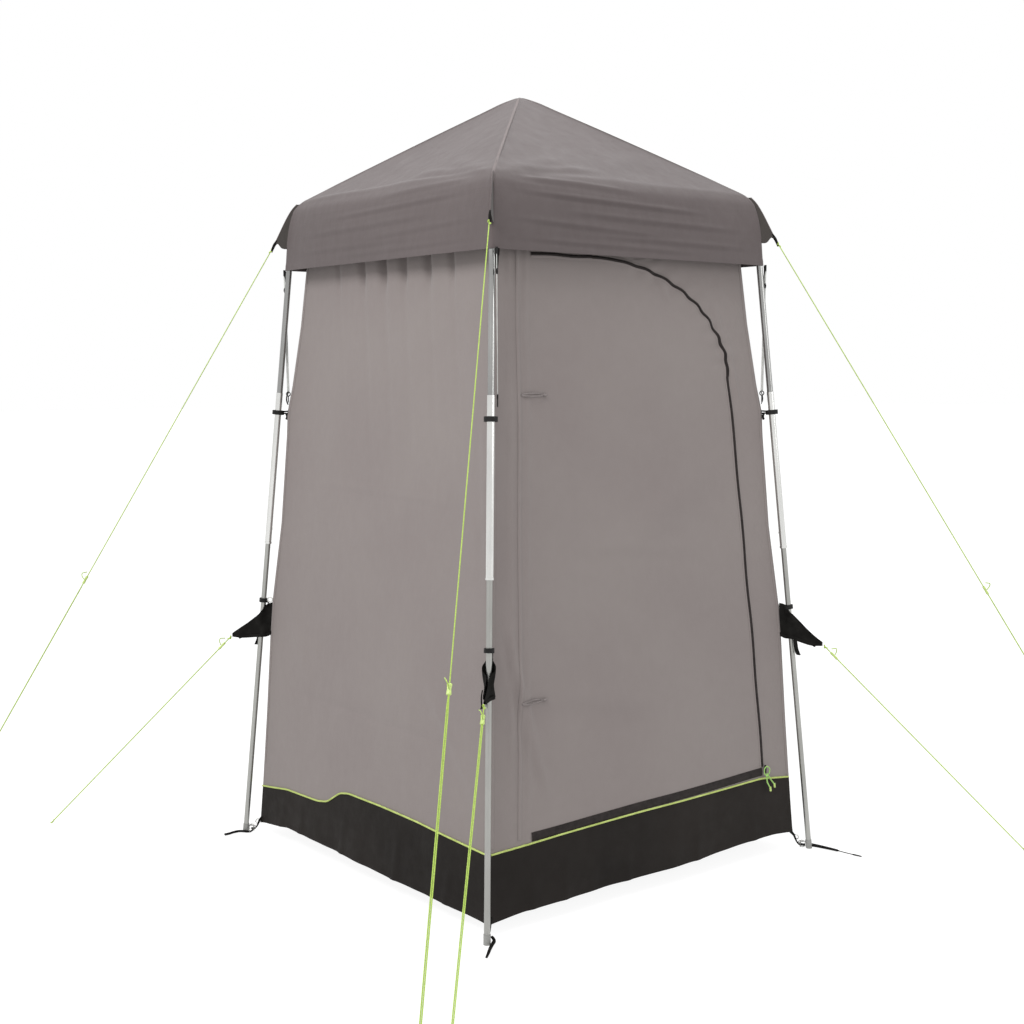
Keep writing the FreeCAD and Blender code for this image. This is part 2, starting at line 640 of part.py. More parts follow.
def build_guys(name, angle):
    upper, lower = upper_guy(name), lower_guy()
    save("upper_guy_" + name, turned(guy_cord("upper_guy_" + name, upper), angle))
    save("lower_guy_" + name, turned(guy_cord("lower_guy_" + name, lower), angle))
    save("guy_sliders_" + name, turned(guy_slider(upper, UPPER_SLIDER_SHARE), angle),
         turned(guy_slider(lower, LOWER_SLIDER_SHARE), angle))


def main():
    save("roof_hub", hub())
    save("hub_crown", crown())
    save("hub_pins", *[turned(hub_pin(), angle) for angle in CORNERS.values()])
    for name, angle in CORNERS.items():
        build_corner(name, angle)
    for name, angle in FACES.items():
        save("canopy_" + name, *[turned(s, angle) for s in canopy_face()])
        plates = door_wall() if name == "front" else wall_plates()
        save("wall_" + name, *[turned(s, angle) for s in plates])
    save("door_panel", door_panel())
    save("door_zip", door_zip())
    save("zip_slider", zip_slider())
    save("door_toggles", *door_toggles())
    for name in GUYED_CORNERS:
        build_guys(name, CORNERS[name])
    for node, count, volume in written:
        print("%-24s %d solids %.0f mm3" % (node, count, volume))
    print(len(written), "nodes")


main()
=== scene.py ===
"""The looks of the privacy shower tent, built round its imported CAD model.

Metres, +Z up, in the same frame as the CAD: the origin is on the ground at the middle of the four feet, the
door wall faces -Y and the plain wall beside it faces -X. A face's pieces are made facing -Y and turned into
place, and a corner's pieces are made with +X outward along the diagonal and turned into place.
"""
import math

import bpy
import numpy as np
from mathutils import Matrix, Vector


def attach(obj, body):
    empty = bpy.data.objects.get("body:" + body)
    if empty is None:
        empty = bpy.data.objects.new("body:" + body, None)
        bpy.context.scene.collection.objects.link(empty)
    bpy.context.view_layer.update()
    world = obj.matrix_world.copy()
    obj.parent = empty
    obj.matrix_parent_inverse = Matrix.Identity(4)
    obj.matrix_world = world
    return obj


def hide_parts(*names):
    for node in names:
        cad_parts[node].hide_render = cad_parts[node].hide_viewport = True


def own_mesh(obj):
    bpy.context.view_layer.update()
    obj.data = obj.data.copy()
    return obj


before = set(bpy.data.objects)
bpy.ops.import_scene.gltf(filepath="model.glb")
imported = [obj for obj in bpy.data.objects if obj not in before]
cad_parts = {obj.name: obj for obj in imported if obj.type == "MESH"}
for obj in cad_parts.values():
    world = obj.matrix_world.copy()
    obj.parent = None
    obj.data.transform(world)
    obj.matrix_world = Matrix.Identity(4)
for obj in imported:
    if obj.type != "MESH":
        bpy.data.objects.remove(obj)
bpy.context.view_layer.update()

# Canopy
VALANCE_Z = 1.750
EAVE_FOLD_Z = 1.955
CANOPY_CORNER_R = 0.0125
# The ridge's line from the peak to just under the rounded eave, and the valance's from there to its hem:
# (half width, height)
ROOF_RIDGE = [(0.0, 2.2495), (0.010, 2.2475), (0.021, 2.2425), (0.042, 2.2310), (0.084, 2.2040),
              (0.168, 2.1510), (0.272, 2.0840), (0.381, 2.0130), (0.434, 1.9790), (0.458, 1.9630),
              (0.472, 1.9525), (0.483, 1.9400), (0.4910, 1.9260), (0.4960, 1.9080)]
RIDGE_EAVE = 8                    # the ridge's first point at the rounded eave
VALANCE_LINE = [(0.4960, 1.9080), (0.5010, 1.8800), (0.5045, 1.8500), (0.5070, 1.8200), (0.5088, 1.7850),
                (0.5105, VALANCE_Z)]

# Cabin: its half width is CABIN_FLOOR_HALF at the ground and less by CABIN_LEAN for each metre of height
CABIN_FLOOR_HALF = 0.5953
CABIN_LEAN = 0.0747
CABIN_TOP = 1.800
SEAM_TOP = 1.790
PIPING_HALF = 0.579
SKIRT_HALF = 0.586
PIPING_Z = 0.220                  # its mean height on the door wall

# Legs
LEG_FOOT_REACH = 0.876
LEG_TOP_REACH = 0.698
LEG_RISE = 1.845
LEG_SLOPE = (LEG_FOOT_REACH - LEG_TOP_REACH) / LEG_RISE
SLEEVE_R = 0.0102
BUTTON_Z = 0.962
BUTTON_R = 0.0025
BUTTON_PROUD = 0.0026
BUTTON_INSIDE = 0.0063            # from the tube's axis to the button's inner end

# Guylines
CORD_D = 0.003
STRAND_GAP = 0.0017               # from the middle of a doubled cord to each strand

# The cabin's corners are pulled out at their fixings: (height, how far out)
CORNER_PULLS = [(0.03, -0.008), (0.15, -0.006), (0.40, 0.000), (0.63, 0.007), (0.73, 0.009), (0.98, 0.004),
                (1.25, 0.009), (1.32, 0.012), (1.40, 0.006), (1.58, -0.001), (1.80, -0.003)]

# Door, in the door wall's own x and z
DOOR_FOOT = (-0.4416, 0.459)
DOOR_FOOT_Z = (0.235, 0.257)
DOOR_SILL_Z = sum(DOOR_FOOT_Z) / 2
HINGE_SEAM = ((-0.480, 0.232), (-0.392, 1.749))
DOOR_TOP_LEFT = -0.3455
DOOR_TOP_Z = 1.748
DOOR_ARC_X = 0.382
DOOR_ARC_WIDE = 0.510             # the upper corner is a quarter of an ellipse
DOOR_ARC_TALL = 0.325
DOOR_ARC_Z = DOOR_TOP_Z - DOOR_ARC_TALL
ZIP_RIPPLE = 0.066                # from one gather of the curved zip to the next

# Heights of the lime piping round the cabin, in each face's own x
PIPING = {
    "front": [(-0.60, 0.209), (-0.346, 0.221), (0.18, 0.2305), (0.457, 0.234), (0.60, 0.217)],
    "right": [(-0.60, 0.217), (-0.27, 0.2265), (-0.084, 0.231), (0.08, 0.231), (0.126, 0.2225), (0.19, 0.184),
              (0.24, 0.175), (0.42, 0.174), (0.60, 0.154)],
    "back": [(-0.60, 0.154), (0.0, 0.175), (0.60, 0.146)],
    "left": [(-0.60, 0.146), (-0.42, 0.171), (-0.24, 0.175), (-0.19, 0.184), (-0.126, 0.2225),
             (-0.08, 0.231), (0.084, 0.231), (0.27, 0.2265), (0.60, 0.207)],
}
# Heights of the skirt's hem, in each face's own x
HEM = {
    "front": [(-0.60, 0.029), (-0.575, 0.034), (-0.47, 0.044), (-0.357, 0.046), (0.168, 0.050),
              (0.383, 0.059), (0.50, 0.059), (0.565, 0.052), (0.60, 0.046)],
    "right": [(-0.60, 0.046), (-0.50, 0.052), (-0.32, 0.052), (0.214, 0.054), (0.41, 0.056), (0.56, 0.045),
              (0.60, 0.036)],
    "back": [(-0.60, 0.036), (-0.50, 0.050), (0.0, 0.052), (0.50, 0.046), (0.60, 0.027)],
    "left": [(-0.60, 0.027), (-0.56, 0.036), (-0.41, 0.055), (-0.214, 0.0536), (0.153, 0.0426),
             (0.32, 0.0415), (0.55, 0.034), (0.60, 0.029)],
}
PIPING_R = 0.0027
RIBBON_LIFT = 0.0004              # from the cloth to the edge of a band that lies on it

# How far each corner and each face is turned about the upright axis, in degrees
CORNERS = {"right": -45.0, "rear": 45.0, "left": 135.0, "front": 225.0}
FACES = {"front": 0.0, "right": 90.0, "back": 180.0, "left": 270.0}
LEG_OF_FACE = {"front": "front", "right": "right", "back": "rear", "left": "left"}
TIE_SIGN = {"right": 1.0, "rear": -1.0, "left": -1.0, "front": 1.0}
PEG_ENDS = {"left": (-0.694, 0.617), "right": (0.664, -0.781), "front": (-0.680, -0.695),
            "rear": (0.694, 0.781)}
TAB_ROOT_RISE = {"left": -0.003, "right": 0.016, "front": -0.012, "rear": 0.0}
PEG_TAPER = {"left": [(0, 0.7), (0.2, 1.0), (1, 1.0)], "rear": [(0, 0.7), (0.2, 1.0), (1, 1.0)],
             "right": [(0, 0.7), (0.15, 1.4), (0.60, 0.9), (0.63, 0.35), (0.85, 0.35), (0.88, 0.6), (1, 0.5)],
             "front": [(0, 0.7), (0.2, 1.0), (0.7, 0.8), (1, 0.6)]}
GUYED_CORNERS = ("front", "left", "right")
FLAP_TIP = Vector((0.758, 0.0, 1.818))
TAB_TIP = Vector((0.909, 0.0, 0.624))
UPPER_GUY_REACH = 1.855
UPPER_GUY_TURN = {"front": -0.7, "left": 0.0, "right": 0.0}
LOWER_GUY_REACH = 1.515
GUY_END_Z = 0.008
GUY_EXIT_GAP = 0.003
UPPER_SLIDER_SHARE = {"front": 0.583, "left": 0.565, "right": 0.565}
LOWER_SLIDER_SHARE = 0.05

# How finely a ring is made: round the ring, and round its wire
RING_STEPS = 40
RING_SIDES = 10


# Camera

CAMERA_PLACE = Vector((-2.8919, -3.5457, 1.4261))
CAMERA_YAW = 51.14
CAMERA_PITCH = -5.10
CAMERA_ROLL = -0.18
CAMERA_LENS = 53.18


def make_camera():
    yaw, pitch, roll = (math.radians(a) for a in (CAMERA_YAW, CAMERA_PITCH, CAMERA_ROLL))
    forward = Vector((math.cos(yaw) * math.cos(pitch), math.sin(yaw) * math.cos(pitch), math.sin(pitch)))
    level = forward.cross(Vector((0, 0, 1))).normalized()
    above = level.cross(forward)
    right = level * math.cos(roll) + above * math.sin(roll)
    up = above * math.cos(roll) - level * math.sin(roll)
    data = bpy.data.cameras.new("camera")
    data.lens = CAMERA_LENS
    data.sensor_width = 36.0
    data.clip_end = 200.0
    camera = bpy.data.objects.new("camera", data)
    bpy.context.scene.collection.objects.link(camera)
    placed = Matrix((right, up, -forward)).transposed().to_4x4()
    placed.translation = CAMERA_PLACE
    camera.matrix_world = placed
    bpy.context.scene.camera = camera


# Materials

WAVE_RATE = 0.314                 # a wave texture's scale times its pitch, in metres
WEAVE_PITCH = 0.0012
TEETH_PITCH = 0.0025


class Surface:
    """A material and its nodes; each method adds a step and gives its output."""

    def __init__(self, name):
        self.material = bpy.data.materials.new(name)
        self.material.use_nodes = True
        self.nodes = self.material.node_tree.nodes
        places = self.add("TexCoord").outputs
        self.place, self.uv = places["Object"], places["UV"]

    def wire(self, node, feeds, numbers):
        """Feeds are inputs that come from other nodes, and numbers are set on their own sockets."""
        for socket, source in feeds.items():
            self.material.node_tree.links.new(source, node.inputs[socket])
        for socket, number in numbers.items():
            node.inputs[socket].default_value = number
        return node

    def add(self, kind, feeds=None, numbers=None):
        return self.wire(self.nodes.new("ShaderNode" + kind), feeds or {}, numbers or {})

    def noise(self, scale, detail=3.0, stretch=None):
        """A noise texture in the piece's own metres, stretched along an axis if asked."""
        place = self.place
        if stretch:
            place = self.add("Mapping", {"Vector": place}, {"Scale": stretch}).outputs["Vector"]
        return self.add("TexNoise", {"Vector": place}, {"Scale": scale, "Detail": detail}).outputs["Fac"]

    def ramp(self, fac, low, high, start=0.3, end=0.7):
        ramp = self.add("ValToRGB", {"Fac": fac})
        for i, (position, colour) in enumerate(((start, low), (end, high))):
            ramp.color_ramp.elements[i].position = position
            ramp.color_ramp.elements[i].color = (*colour, 1)
        return ramp.outputs["Color"]

    def swing(self, fac, middle, reach):
        """A value that swings about its middle as fac goes from 0.3 to 0.7."""
        numbers = {"From Min": 0.3, "From Max": 0.7, "To Min": middle - reach, "To Max": middle + reach}
        return self.add("MapRange", {"Value": fac}, numbers).outputs["Result"]

    def bump(self, height, strength, distance, under=None):
        feeds = {"Height": height}
        if under:
            feeds["Normal"] = under
        return self.add("Bump", feeds, {"Strength": strength, "Distance": distance}).outputs["Normal"]

    def weave(self, pitch):
        """Crossed threads: two waves at right angles, in the piece's own metres."""
        threads = []
        for direction in ("X", "Z"):
            wave = self.add("TexWave", {"Vector": self.place}, {
                "Scale": WAVE_RATE / pitch, "Distortion": 0.6, "Detail": 1.0, "Detail Scale": 4.0})
            wave.bands_direction = direction
            threads.append(wave.outputs["Fac"])
        crossing = self.add("Math", dict(enumerate(threads)))
        crossing.operation = "MAXIMUM"
        return crossing.outputs["Value"]

    def finish(self, feeds, numbers):
        self.wire(self.nodes["Principled BSDF"], feeds, numbers)
        return self.material


def cloth_material(name, low, high, rough, sheen=0.15, gloss=0.35):
    """Coated polyester: a fine weave, slow changes of tone and a soft crinkle."""
    surface = Surface(name)
    crinkle = surface.bump(surface.noise(9.0, 5.0, (1.0, 1.0, 0.55)), 0.35, 0.012)
    tone = surface.noise(2.2, 4.0)
    return surface.finish({"Base Color": surface.ramp(tone, low, high, 0.35, 0.65),
                           "Roughness": surface.swing(surface.noise(30.0), rough, 0.06),
                           "Normal": surface.bump(surface.weave(WEAVE_PITCH), 0.25, 0.0003, crinkle)},
                          {"Sheen Weight": sheen, "Sheen Roughness": 0.5, "Specular IOR Level": gloss})


def webbing_material(name, low, high, pitch=0.0022, rough=0.85, gloss=0.35):
    """Narrow woven strap: a ribbed weave across its length."""
    surface = Surface(name)
    return surface.finish({"Base Color": surface.ramp(surface.noise(40.0), low, high),
                           "Normal": surface.bump(surface.weave(pitch), 0.6, 0.0006)},
                          {"Roughness": rough, "Specular IOR Level": gloss})


def tube_material(name, low, high, rough):
    """Drawn aluminium: fine lines along the tube, slight tarnish and handling marks."""
    surface = Surface(name)
    lines = surface.noise(900.0, 2.0, (1.0, 1.0, 0.01))
    smudges = surface.noise(14.0, 4.0, (1.0, 1.0, 0.3))
    return surface.finish({"Base Color": surface.ramp(smudges, low, high),
                           "Roughness": surface.swing(smudges, rough, 0.06),
                           "Normal": surface.bump(lines, 0.08, 0.0004)}, {"Metallic": 1.0})


def plastic_material(name, low, high, rough=0.45, gloss=0.5):
    """Moulded plastic: a fine spark texture, with small changes of tone and gloss."""
    surface = Surface(name)
    tone = surface.noise(35.0)
    return surface.finish({"Base Color": surface.ramp(tone, low, high),
                           "Roughness": surface.swing(tone, rough, 0.08),
                           "Normal": surface.bump(surface.noise(1200.0, 1.0), 0.15, 0.0002)},
                          {"Specular IOR Level": gloss})


def steel_material(name):
    """Zinc-plated wire: bright, with a faint mottle."""
    surface = Surface(name)
    mottle = surface.noise(160.0)
    colour = surface.ramp(mottle, (0.52, 0.52, 0.50), (0.70, 0.70, 0.68))
    return surface.finish({"Base Color": colour,
                           "Roughness": surface.swing(mottle, 0.30, 0.08),
                           "Normal": surface.bump(mottle, 0.1, 0.0003)}, {"Metallic": 1.0})


def zip_material(name):
    """A coil zip: teeth across its length, from its own UV, in dark tape."""
    surface = Surface(name)
    teeth = surface.add("TexWave", {"Vector": surface.uv}, {"Scale": WAVE_RATE / TEETH_PITCH})
    tone = surface.noise(60.0)
    colour = surface.ramp(tone, (0.0130, 0.0100, 0.0095), (0.0240, 0.0190, 0.0180))
    return surface.finish({"Base Color": colour,
                           "Normal": surface.bump(teeth.outputs["Fac"], 0.7, 0.0008)},
                          {"Roughness": 0.5, "Specular IOR Level": 0.12})


def cord_material(name, low, high):
    """Braided cord: strands that cross along its length, from its own UV."""
    surface = Surface(name)
    along = surface.add("Mapping", {"Vector": surface.uv}, {"Scale": (420.0, 4.0, 1.0)})
    braid = surface.add("TexVoronoi", {"Vector": along.outputs["Vector"]}, {"Scale": 1.0}).outputs["Distance"]
    return surface.finish({"Base Color": surface.ramp(braid, high, low, 0.1, 0.9),
                           "Normal": surface.bump(braid, 0.6, 0.0006)},
                          {"Roughness": 0.7, "Sheen Weight": 0.2})


ROOF_CLOTH = cloth_material("roof_cloth", (0.0675, 0.0530, 0.0525), (0.0765, 0.0600, 0.0595), 0.74)
# a lighter copy of the roof cloth for the ridge seams: painted highlight
SEAM_CLOTH_PAINTED_HIGHLIGHT = cloth_material("seam_cloth_painted_highlight", (0.105, 0.084, 0.082), (0.120, 0.096, 0.094), 0.78)
WALL_CLOTH = cloth_material("wall_cloth", (0.168, 0.1435, 0.138), (0.180, 0.1565, 0.149), 0.80)
SKIRT_CLOTH = cloth_material("skirt_cloth", (0.0095, 0.0078, 0.0068), (0.0155, 0.0128, 0.0112), 0.62,
                             sheen=0.0, gloss=0.10)
# a darker copy of the canopy cloth for the corner tabs: painted shade
FLAP_CLOTH_PAINTED_SHADE = cloth_material("flap_cloth_painted_shade", (0.030, 0.026, 0.0235), (0.046, 0.040, 0.036), 0.80, gloss=0.2)
WEBBING = webbing_material("webbing", (0.0045, 0.0042, 0.0038), (0.0100, 0.0094, 0.0086), gloss=0.08)
ELASTIC = webbing_material("elastic", (0.42, 0.43, 0.41), (0.58, 0.58, 0.56), 0.0015)
TOGGLE_WEB = webbing_material("toggle_web", (0.15, 0.13, 0.125), (0.21, 0.185, 0.18), 0.0015)
PIPING_CLOTH = webbing_material("piping_cloth", (0.33, 0.40, 0.105), (0.44, 0.52, 0.16), 0.0014, 0.7)
UPPER_TUBE = tube_material("upper_tube", (0.27, 0.27, 0.265), (0.38, 0.38, 0.37), 0.22)
SLEEVE_TUBE = tube_material("sleeve_tube", (0.60, 0.60, 0.585), (0.74, 0.74, 0.72), 0.24)
LOWER_TUBE = tube_material("lower_tube", (0.30, 0.30, 0.285), (0.40, 0.40, 0.38), 0.34)
FOOT_GREY = plastic_material("foot_grey", (0.17, 0.17, 0.16), (0.23, 0.23, 0.22))
BLACK = plastic_material("black_plastic", (0.006, 0.006, 0.006), (0.013, 0.0125, 0.012), 0.5, 0.15)
CLEAR_GREY = plastic_material("pale_buckle", (0.50, 0.50, 0.48), (0.62, 0.62, 0.60), 0.35)
LIME_PLASTIC = plastic_material("lime_plastic", (0.34, 0.46, 0.12), (0.46, 0.58, 0.18), 0.4)
STEEL = steel_material("plated_wire")
ZIP = zip_material("zip")
CORD = cord_material("guy_cord", (0.22, 0.33, 0.035), (0.40, 0.55, 0.085))
PULL_CORD = cord_material("pull_cord", (0.16, 0.34, 0.06), (0.32, 0.54, 0.13))


# Meshes

def turned(points, degrees):
    """Points turned about the upright axis."""
    c, s = math.cos(math.radians(degrees)), math.sin(math.radians(degrees))
    p = np.asarray(points, float).reshape(-1, 3)
    return np.stack([c * p[:, 0] - s * p[:, 1], s * p[:, 0] + c * p[:, 1], p[:, 2]], axis=1)


def turned_vector(x, y, z, degrees):
    return [float(v) for v in turned([(x, y, z)], degrees)[0]]


def mesh_object(name, points, faces, material, uv=None):
    """A smooth mesh; uv is one pair per point."""
    mesh = bpy.data.meshes.new(name)
    mesh.from_pydata([tuple(float(c) for c in p) for p in points], [], faces)
    mesh.materials.append(material)
    if uv is not None:
        layer = mesh.uv_layers.new(name="UVMap")
        for loop in mesh.loops:
            layer.data[loop.index].uv = uv[loop.vertex_index]
    mesh.update()
    mesh.shade_smooth()
    obj = bpy.data.objects.new(name, mesh)
    bpy.context.scene.collection.objects.link(obj)
    return obj


def grid_faces(rows, columns, wrap=False):
    """Quads over a grid of points, row by row; wrap joins each row's ends."""
    faces = []
    for r in range(rows - 1):
        for c in range(columns if wrap else columns - 1):
            d = (c + 1) % columns
            faces.append((r * columns + c, r * columns + d, (r + 1) * columns + d, (r + 1) * columns + c))
    return faces


def grid_object(name, points, material, keep=None):
    """points is (rows, columns, 3); keep(row, column) picks the quads."""
    rows, columns, _ = points.shape
    faces = grid_faces(rows, columns)
    if keep is not None:
        faces = [f for f in faces if keep(f[0] // columns, f[0] % columns)]
    used = sorted({v for f in faces for v in f})
    place = {v: i for i, v in enumerate(used)}
    flat = points.reshape(-1, 3)
    return mesh_object(name, flat[used], [tuple(place[v] for v in f) for f in faces], material)


def smooth_path(points, spacing=0.01):
    """A Catmull-Rom curve through the points, sampled about every spacing."""
    p = np.asarray(points, float)
    p = np.vstack([2 * p[0] - p[1], p, 2 * p[-1] - p[-2]])
    out = []
    for i in range(1, len(p) - 2):
        steps = max(2, int(np.linalg.norm(p[i + 1] - p[i]) / spacing))
        for t in np.linspace(0, 1, steps, endpoint=False):
            out.append(0.5 * (2 * p[i] + (p[i + 1] - p[i - 1]) * t
                              + (2 * p[i - 1] - 5 * p[i] + 4 * p[i + 1] - p[i + 2]) * t * t
                              + (3 * p[i] - p[i - 1] - 3 * p[i + 1] + p[i + 2]) * t ** 3))
    out.append(p[-2])
    return np.array(out)


def frames_along(path, side_hint):
    """Unit side and over vectors at each point of a path; side stays near side_hint."""
    tangent = np.gradient(path, axis=0)
    tangent /= np.linalg.norm(tangent, axis=1)[:, None]
    hint = np.broadcast_to(np.asarray(side_hint, float), path.shape)
    side = hint - np.sum(hint * tangent, axis=1)[:, None] * tangent
    side /= np.linalg.norm(side, axis=1)[:, None]
    return side, np.cross(tangent, side)


def sweep(name, path, section, side_hint, material, scale=None):
    """A closed section, as (side, over) pairs, swept along a path, with closed ends."""
    side, over = frames_along(path, side_hint)
    section = np.asarray(section, float)
    factor = np.ones(len(path)) if scale is None else np.asarray(scale)
    points = (path[:, None, :] + factor[:, None, None] * (side[:, None, :] * section[None, :, :1]
                                                          + over[:, None, :] * section[None, :, 1:]))
    rows, columns = len(path), len(section)
    faces = grid_faces(rows, columns, wrap=True)
    faces.append(tuple(range(columns))[::-1])
    faces.append(tuple((rows - 1) * columns + c for c in range(columns)))
    run = np.concatenate([[0], np.cumsum(np.linalg.norm(np.diff(path, axis=0), axis=1))])
    uv = [(float(run[r]), c / columns) for r in range(rows) for c in range(columns)]
    return mesh_object(name, points.reshape(-1, 3), faces, material, uv)


def circle_section(radius, sides=8):
    turns = np.linspace(0, 2 * math.pi, sides, endpoint=False)
    return [(radius * math.cos(a), radius * math.sin(a)) for a in turns]


def strap_section(width, thickness):
    """A flat band with softly rounded edges."""
    w, t = width / 2, thickness / 2
    r = min(t, w) * 0.7
    return [(-w + r, -t), (w - r, -t), (w, -t + r), (w, t - r),
            (w - r, t), (-w + r, t), (-w, t - r), (-w, -t + r)]


def join(name, pieces):
    """One object from several, keeping the first one's material slots."""
    bpy.ops.object.select_all(action="DESELECT")
    for piece in pieces:
        piece.select_set(True)
    bpy.context.view_layer.objects.active = pieces[0]
    bpy.ops.object.join()
    pieces[0].name = name
    pieces[0].data.name = name
    return pieces[0]


# Cloth shapes

def smoothstep(x):
    x = np.clip(x, 0, 1)
    return x * x * (3 - 2 * x)


def follow(points, x):
    """A smooth height through (x, height) points."""
    xs, zs = np.array(points).T
    fine = np.linspace(xs[0], xs[-1], 400)
    linear = np.interp(fine, xs, zs)
    kernel = np.hanning(15)
    padded = np.pad(linear, 7, mode="edge")
    return np.interp(x, fine, np.convolve(padded, kernel / kernel.sum(), mode="valid"))


def fold(x, z, start, end, width, height, lean=0.0):
    """A crease from start to end, highest at its middle; lean moves its ridge to one side of its valley."""
    ax, az = start
    dx, dz = end[0] - ax, end[1] - az
    length = math.hypot(dx, dz)
    along = ((x - ax) * dx + (z - az) * dz) / length ** 2
    across = ((x - ax) * dz - (z - az) * dx) / length
    fade = smoothstep(along / 0.3) * smoothstep((1 - along) / 0.3)
    shape = np.exp(-(across / width) ** 2)
    valley = np.exp(-((across - 1.6 * width) / width) ** 2)
    return height * fade * (shape - lean * valley)


def ripple(x, z, seed, size, height):
    """Slow, shallow unevenness from a few crossing waves."""
    total = np.zeros_like(x)
    for i in range(5):
        angle = 0.9 + 2.399 * (i + seed)
        phase = 1.7 * (i + 1) * (seed + 1)
        rate = 2 * math.pi / size * (1 + 0.37 * i)
        total += np.sin(rate * (x * math.cos(angle) + 0.6 * z * math.sin(angle)) + phase) / (1 + i)
    return height * total / 2.3


def cabin_half(z):
    """Half the cabin's width at its corners, with the pull of the fixings."""
    heights, pulls = np.array(CORNER_PULLS).T
    return CABIN_FLOOR_HALF - CABIN_LEAN * z + np.interp(z, heights, pulls)


def straight_half(z):
    return CABIN_FLOOR_HALF - CABIN_LEAN * z


def on_wall(face, x, z, lift=0.0):
    """Points on a wall's outer surface, in the face's own frame; lift is how far proud."""
    x, z = np.asarray(x, float), np.asarray(z, float)
    half = cabin_half(z)
    share = np.clip(np.abs(x) / half, 0, 1)
    pull = (half - straight_half(z)) * share ** 5
    free = 1 - share ** 10
    out = straight_half(z) + pull + free * WALL_SHAPES[face](x, z) + lift
    return np.stack([x, -out, z], axis=-1)


def door_wall_shape(x, z):
    out = ripple(x, z, 1, 0.55, 0.0035)
    hem_free = smoothstep((z - 0.05) / 0.4)
    for place, width, height in ((-0.435, 0.011, 0.0045), (-0.462, 0.009, 0.0045), (-0.405, 0.009, 0.0035)):
        lean = (z - 1.0) * 0.058
        out += hem_free * height * np.exp(-((x - place - lean) / width) ** 2)
    for crease in (
            ((0.33, 1.66), (0.415, 1.36), 0.012, 0.005, 0.6),
            ((0.375, 1.60), (0.43, 1.30), 0.010, 0.004, 0.5),
            ((-0.50, 0.86), (-0.42, 0.38), 0.012, 0.007, 0.6),
            ((-0.47, 0.72), (-0.37, 0.28), 0.012, 0.006, 0.5),
            ((-0.36, 1.68), (0.10, 1.30), 0.045, 0.003, 0.3), ((-0.10, 0.95), (0.36, 1.20), 0.05, 0.003, 0.3),
            ((-0.40, 0.60), (0.10, 0.50), 0.03, 0.0022, 0.4),
            ((-0.30, 0.98), (0.30, 0.93), 0.02, 0.0014, 0.5),
            ((0.47, 1.72), (0.50, 1.25), 0.012, 0.004, 0.5), ((0.10, 1.74), (0.16, 1.62), 0.010, 0.003, 0.5)):
        out += fold(x, z, *crease)
    return out + zip_pucker(x, z)


def arc_wave(angle):
    """A wave along the zip's curved part; angle is 0 at the part's lower end."""
    return np.sin(angle * (DOOR_ARC_WIDE + DOOR_ARC_TALL) / 2 / ZIP_RIPPLE * 2 * math.pi)


def zip_pucker(x, z):
    """Gathers where the zip turns the door's upper corner."""
    across = (x - DOOR_ARC_X) / DOOR_ARC_WIDE + 1
    rise = (z - DOOR_ARC_Z) / DOOR_ARC_TALL
    radius, angle = np.hypot(across, rise), np.arctan2(rise, across)
    near = np.exp(-((radius - 1) / 0.085) ** 2)
    turn = smoothstep(angle / 0.2) * smoothstep((1.45 - angle) / 0.3)
    return near * turn * 0.0024 * arc_wave(angle)


def left_wall_shape(x, z):
    out = ripple(x, z, 3, 0.6, 0.003)
    drop = CABIN_TOP - z
    for place, width, height in ((-0.29, 0.010, 0.004), (-0.165, 0.014, 0.010), (-0.06, 0.016, 0.013),
                                 (0.04, 0.015, 0.011), (0.155, 0.014, 0.011), (0.265, 0.011, 0.008)):
        line = place + 0.19 * drop
        first_fade = 1 - 0.88 * smoothstep((drop - 0.05) / 0.12)
        deep = height * first_fade * (1 - smoothstep((drop - 0.15) / 0.60))
        out -= 1.6 * deep * np.exp(-np.abs((x - line) / width) ** 2.0)
        out += 0.15 * deep * np.exp(-((x - line - 2.3 * width) / (1.6 * width)) ** 2)
    for crease in (
            ((-0.62, 0.485), (0.62, 0.452), 0.006, -0.0016, -0.8),
            ((-0.50, 1.12), (0.50, 1.09), 0.010, 0.0010, 0.5),
            ((0.25, 0.62), (0.56, 0.30), 0.02, 0.003, 0.4), ((-0.50, 0.90), (-0.30, 0.40), 0.04, 0.0025, 0.3),
            ((0.46, 1.40), (0.52, 0.80), 0.016, 0.003, 0.5), ((0.35, 1.70), (0.45, 1.25), 0.03, 0.003, 0.3)):
        out += fold(x, z, *crease)
    return out


def right_wall_shape(x, z):
    return left_wall_shape(-x, z) * 0.9


def back_wall_shape(x, z):
    out = ripple(x, z, 6, 0.5, 0.0035)
    drop = CABIN_TOP - z
    for place in (-0.30, -0.17, -0.03, 0.09, 0.21, 0.33):
        deep = 0.006 * (1 - smoothstep((drop - 0.03) / 0.3))
        out -= deep * np.exp(-((x - place * (1 + 0.15 * drop)) / 0.014) ** 2)
    out += fold(x, z, (-0.55, 0.455), (0.55, 0.46), 0.006, -0.0015, -0.8)
    out += fold(x, z, (-0.46, 1.30), (0.40, 0.50), 0.05, 0.003, 0.4)
    return out


WALL_SHAPES = {"front": door_wall_shape, "right": right_wall_shape, "back": back_wall_shape,
               "left": left_wall_shape}


def edge_spread(count, edge, half):
    """Shares from -1 to 1 with two extra columns at each edge, for the seam that runs there."""
    step = edge / half
    inner = np.linspace(-1 + step, 1 - step, count - 4)
    return np.concatenate([[-1, -1 + 0.5 * step], inner, [1 - 0.5 * step, 1]])


# Riding

def gather(piece, body):
    """The piece rides on a body, with its own copy of its mesh."""
    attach(piece, body)
    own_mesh(piece)


def gather_wall(piece, face, body=None):
    """A wall's piece rides on the leg it is carried by, or on the body given."""
    gather(piece, body or "leg_" + LEG_OF_FACE[face])


def gather_valance(piece, face):
    """A valance rides on the same leg as the wall below it."""
    gather(piece, "leg_" + LEG_OF_FACE[face])


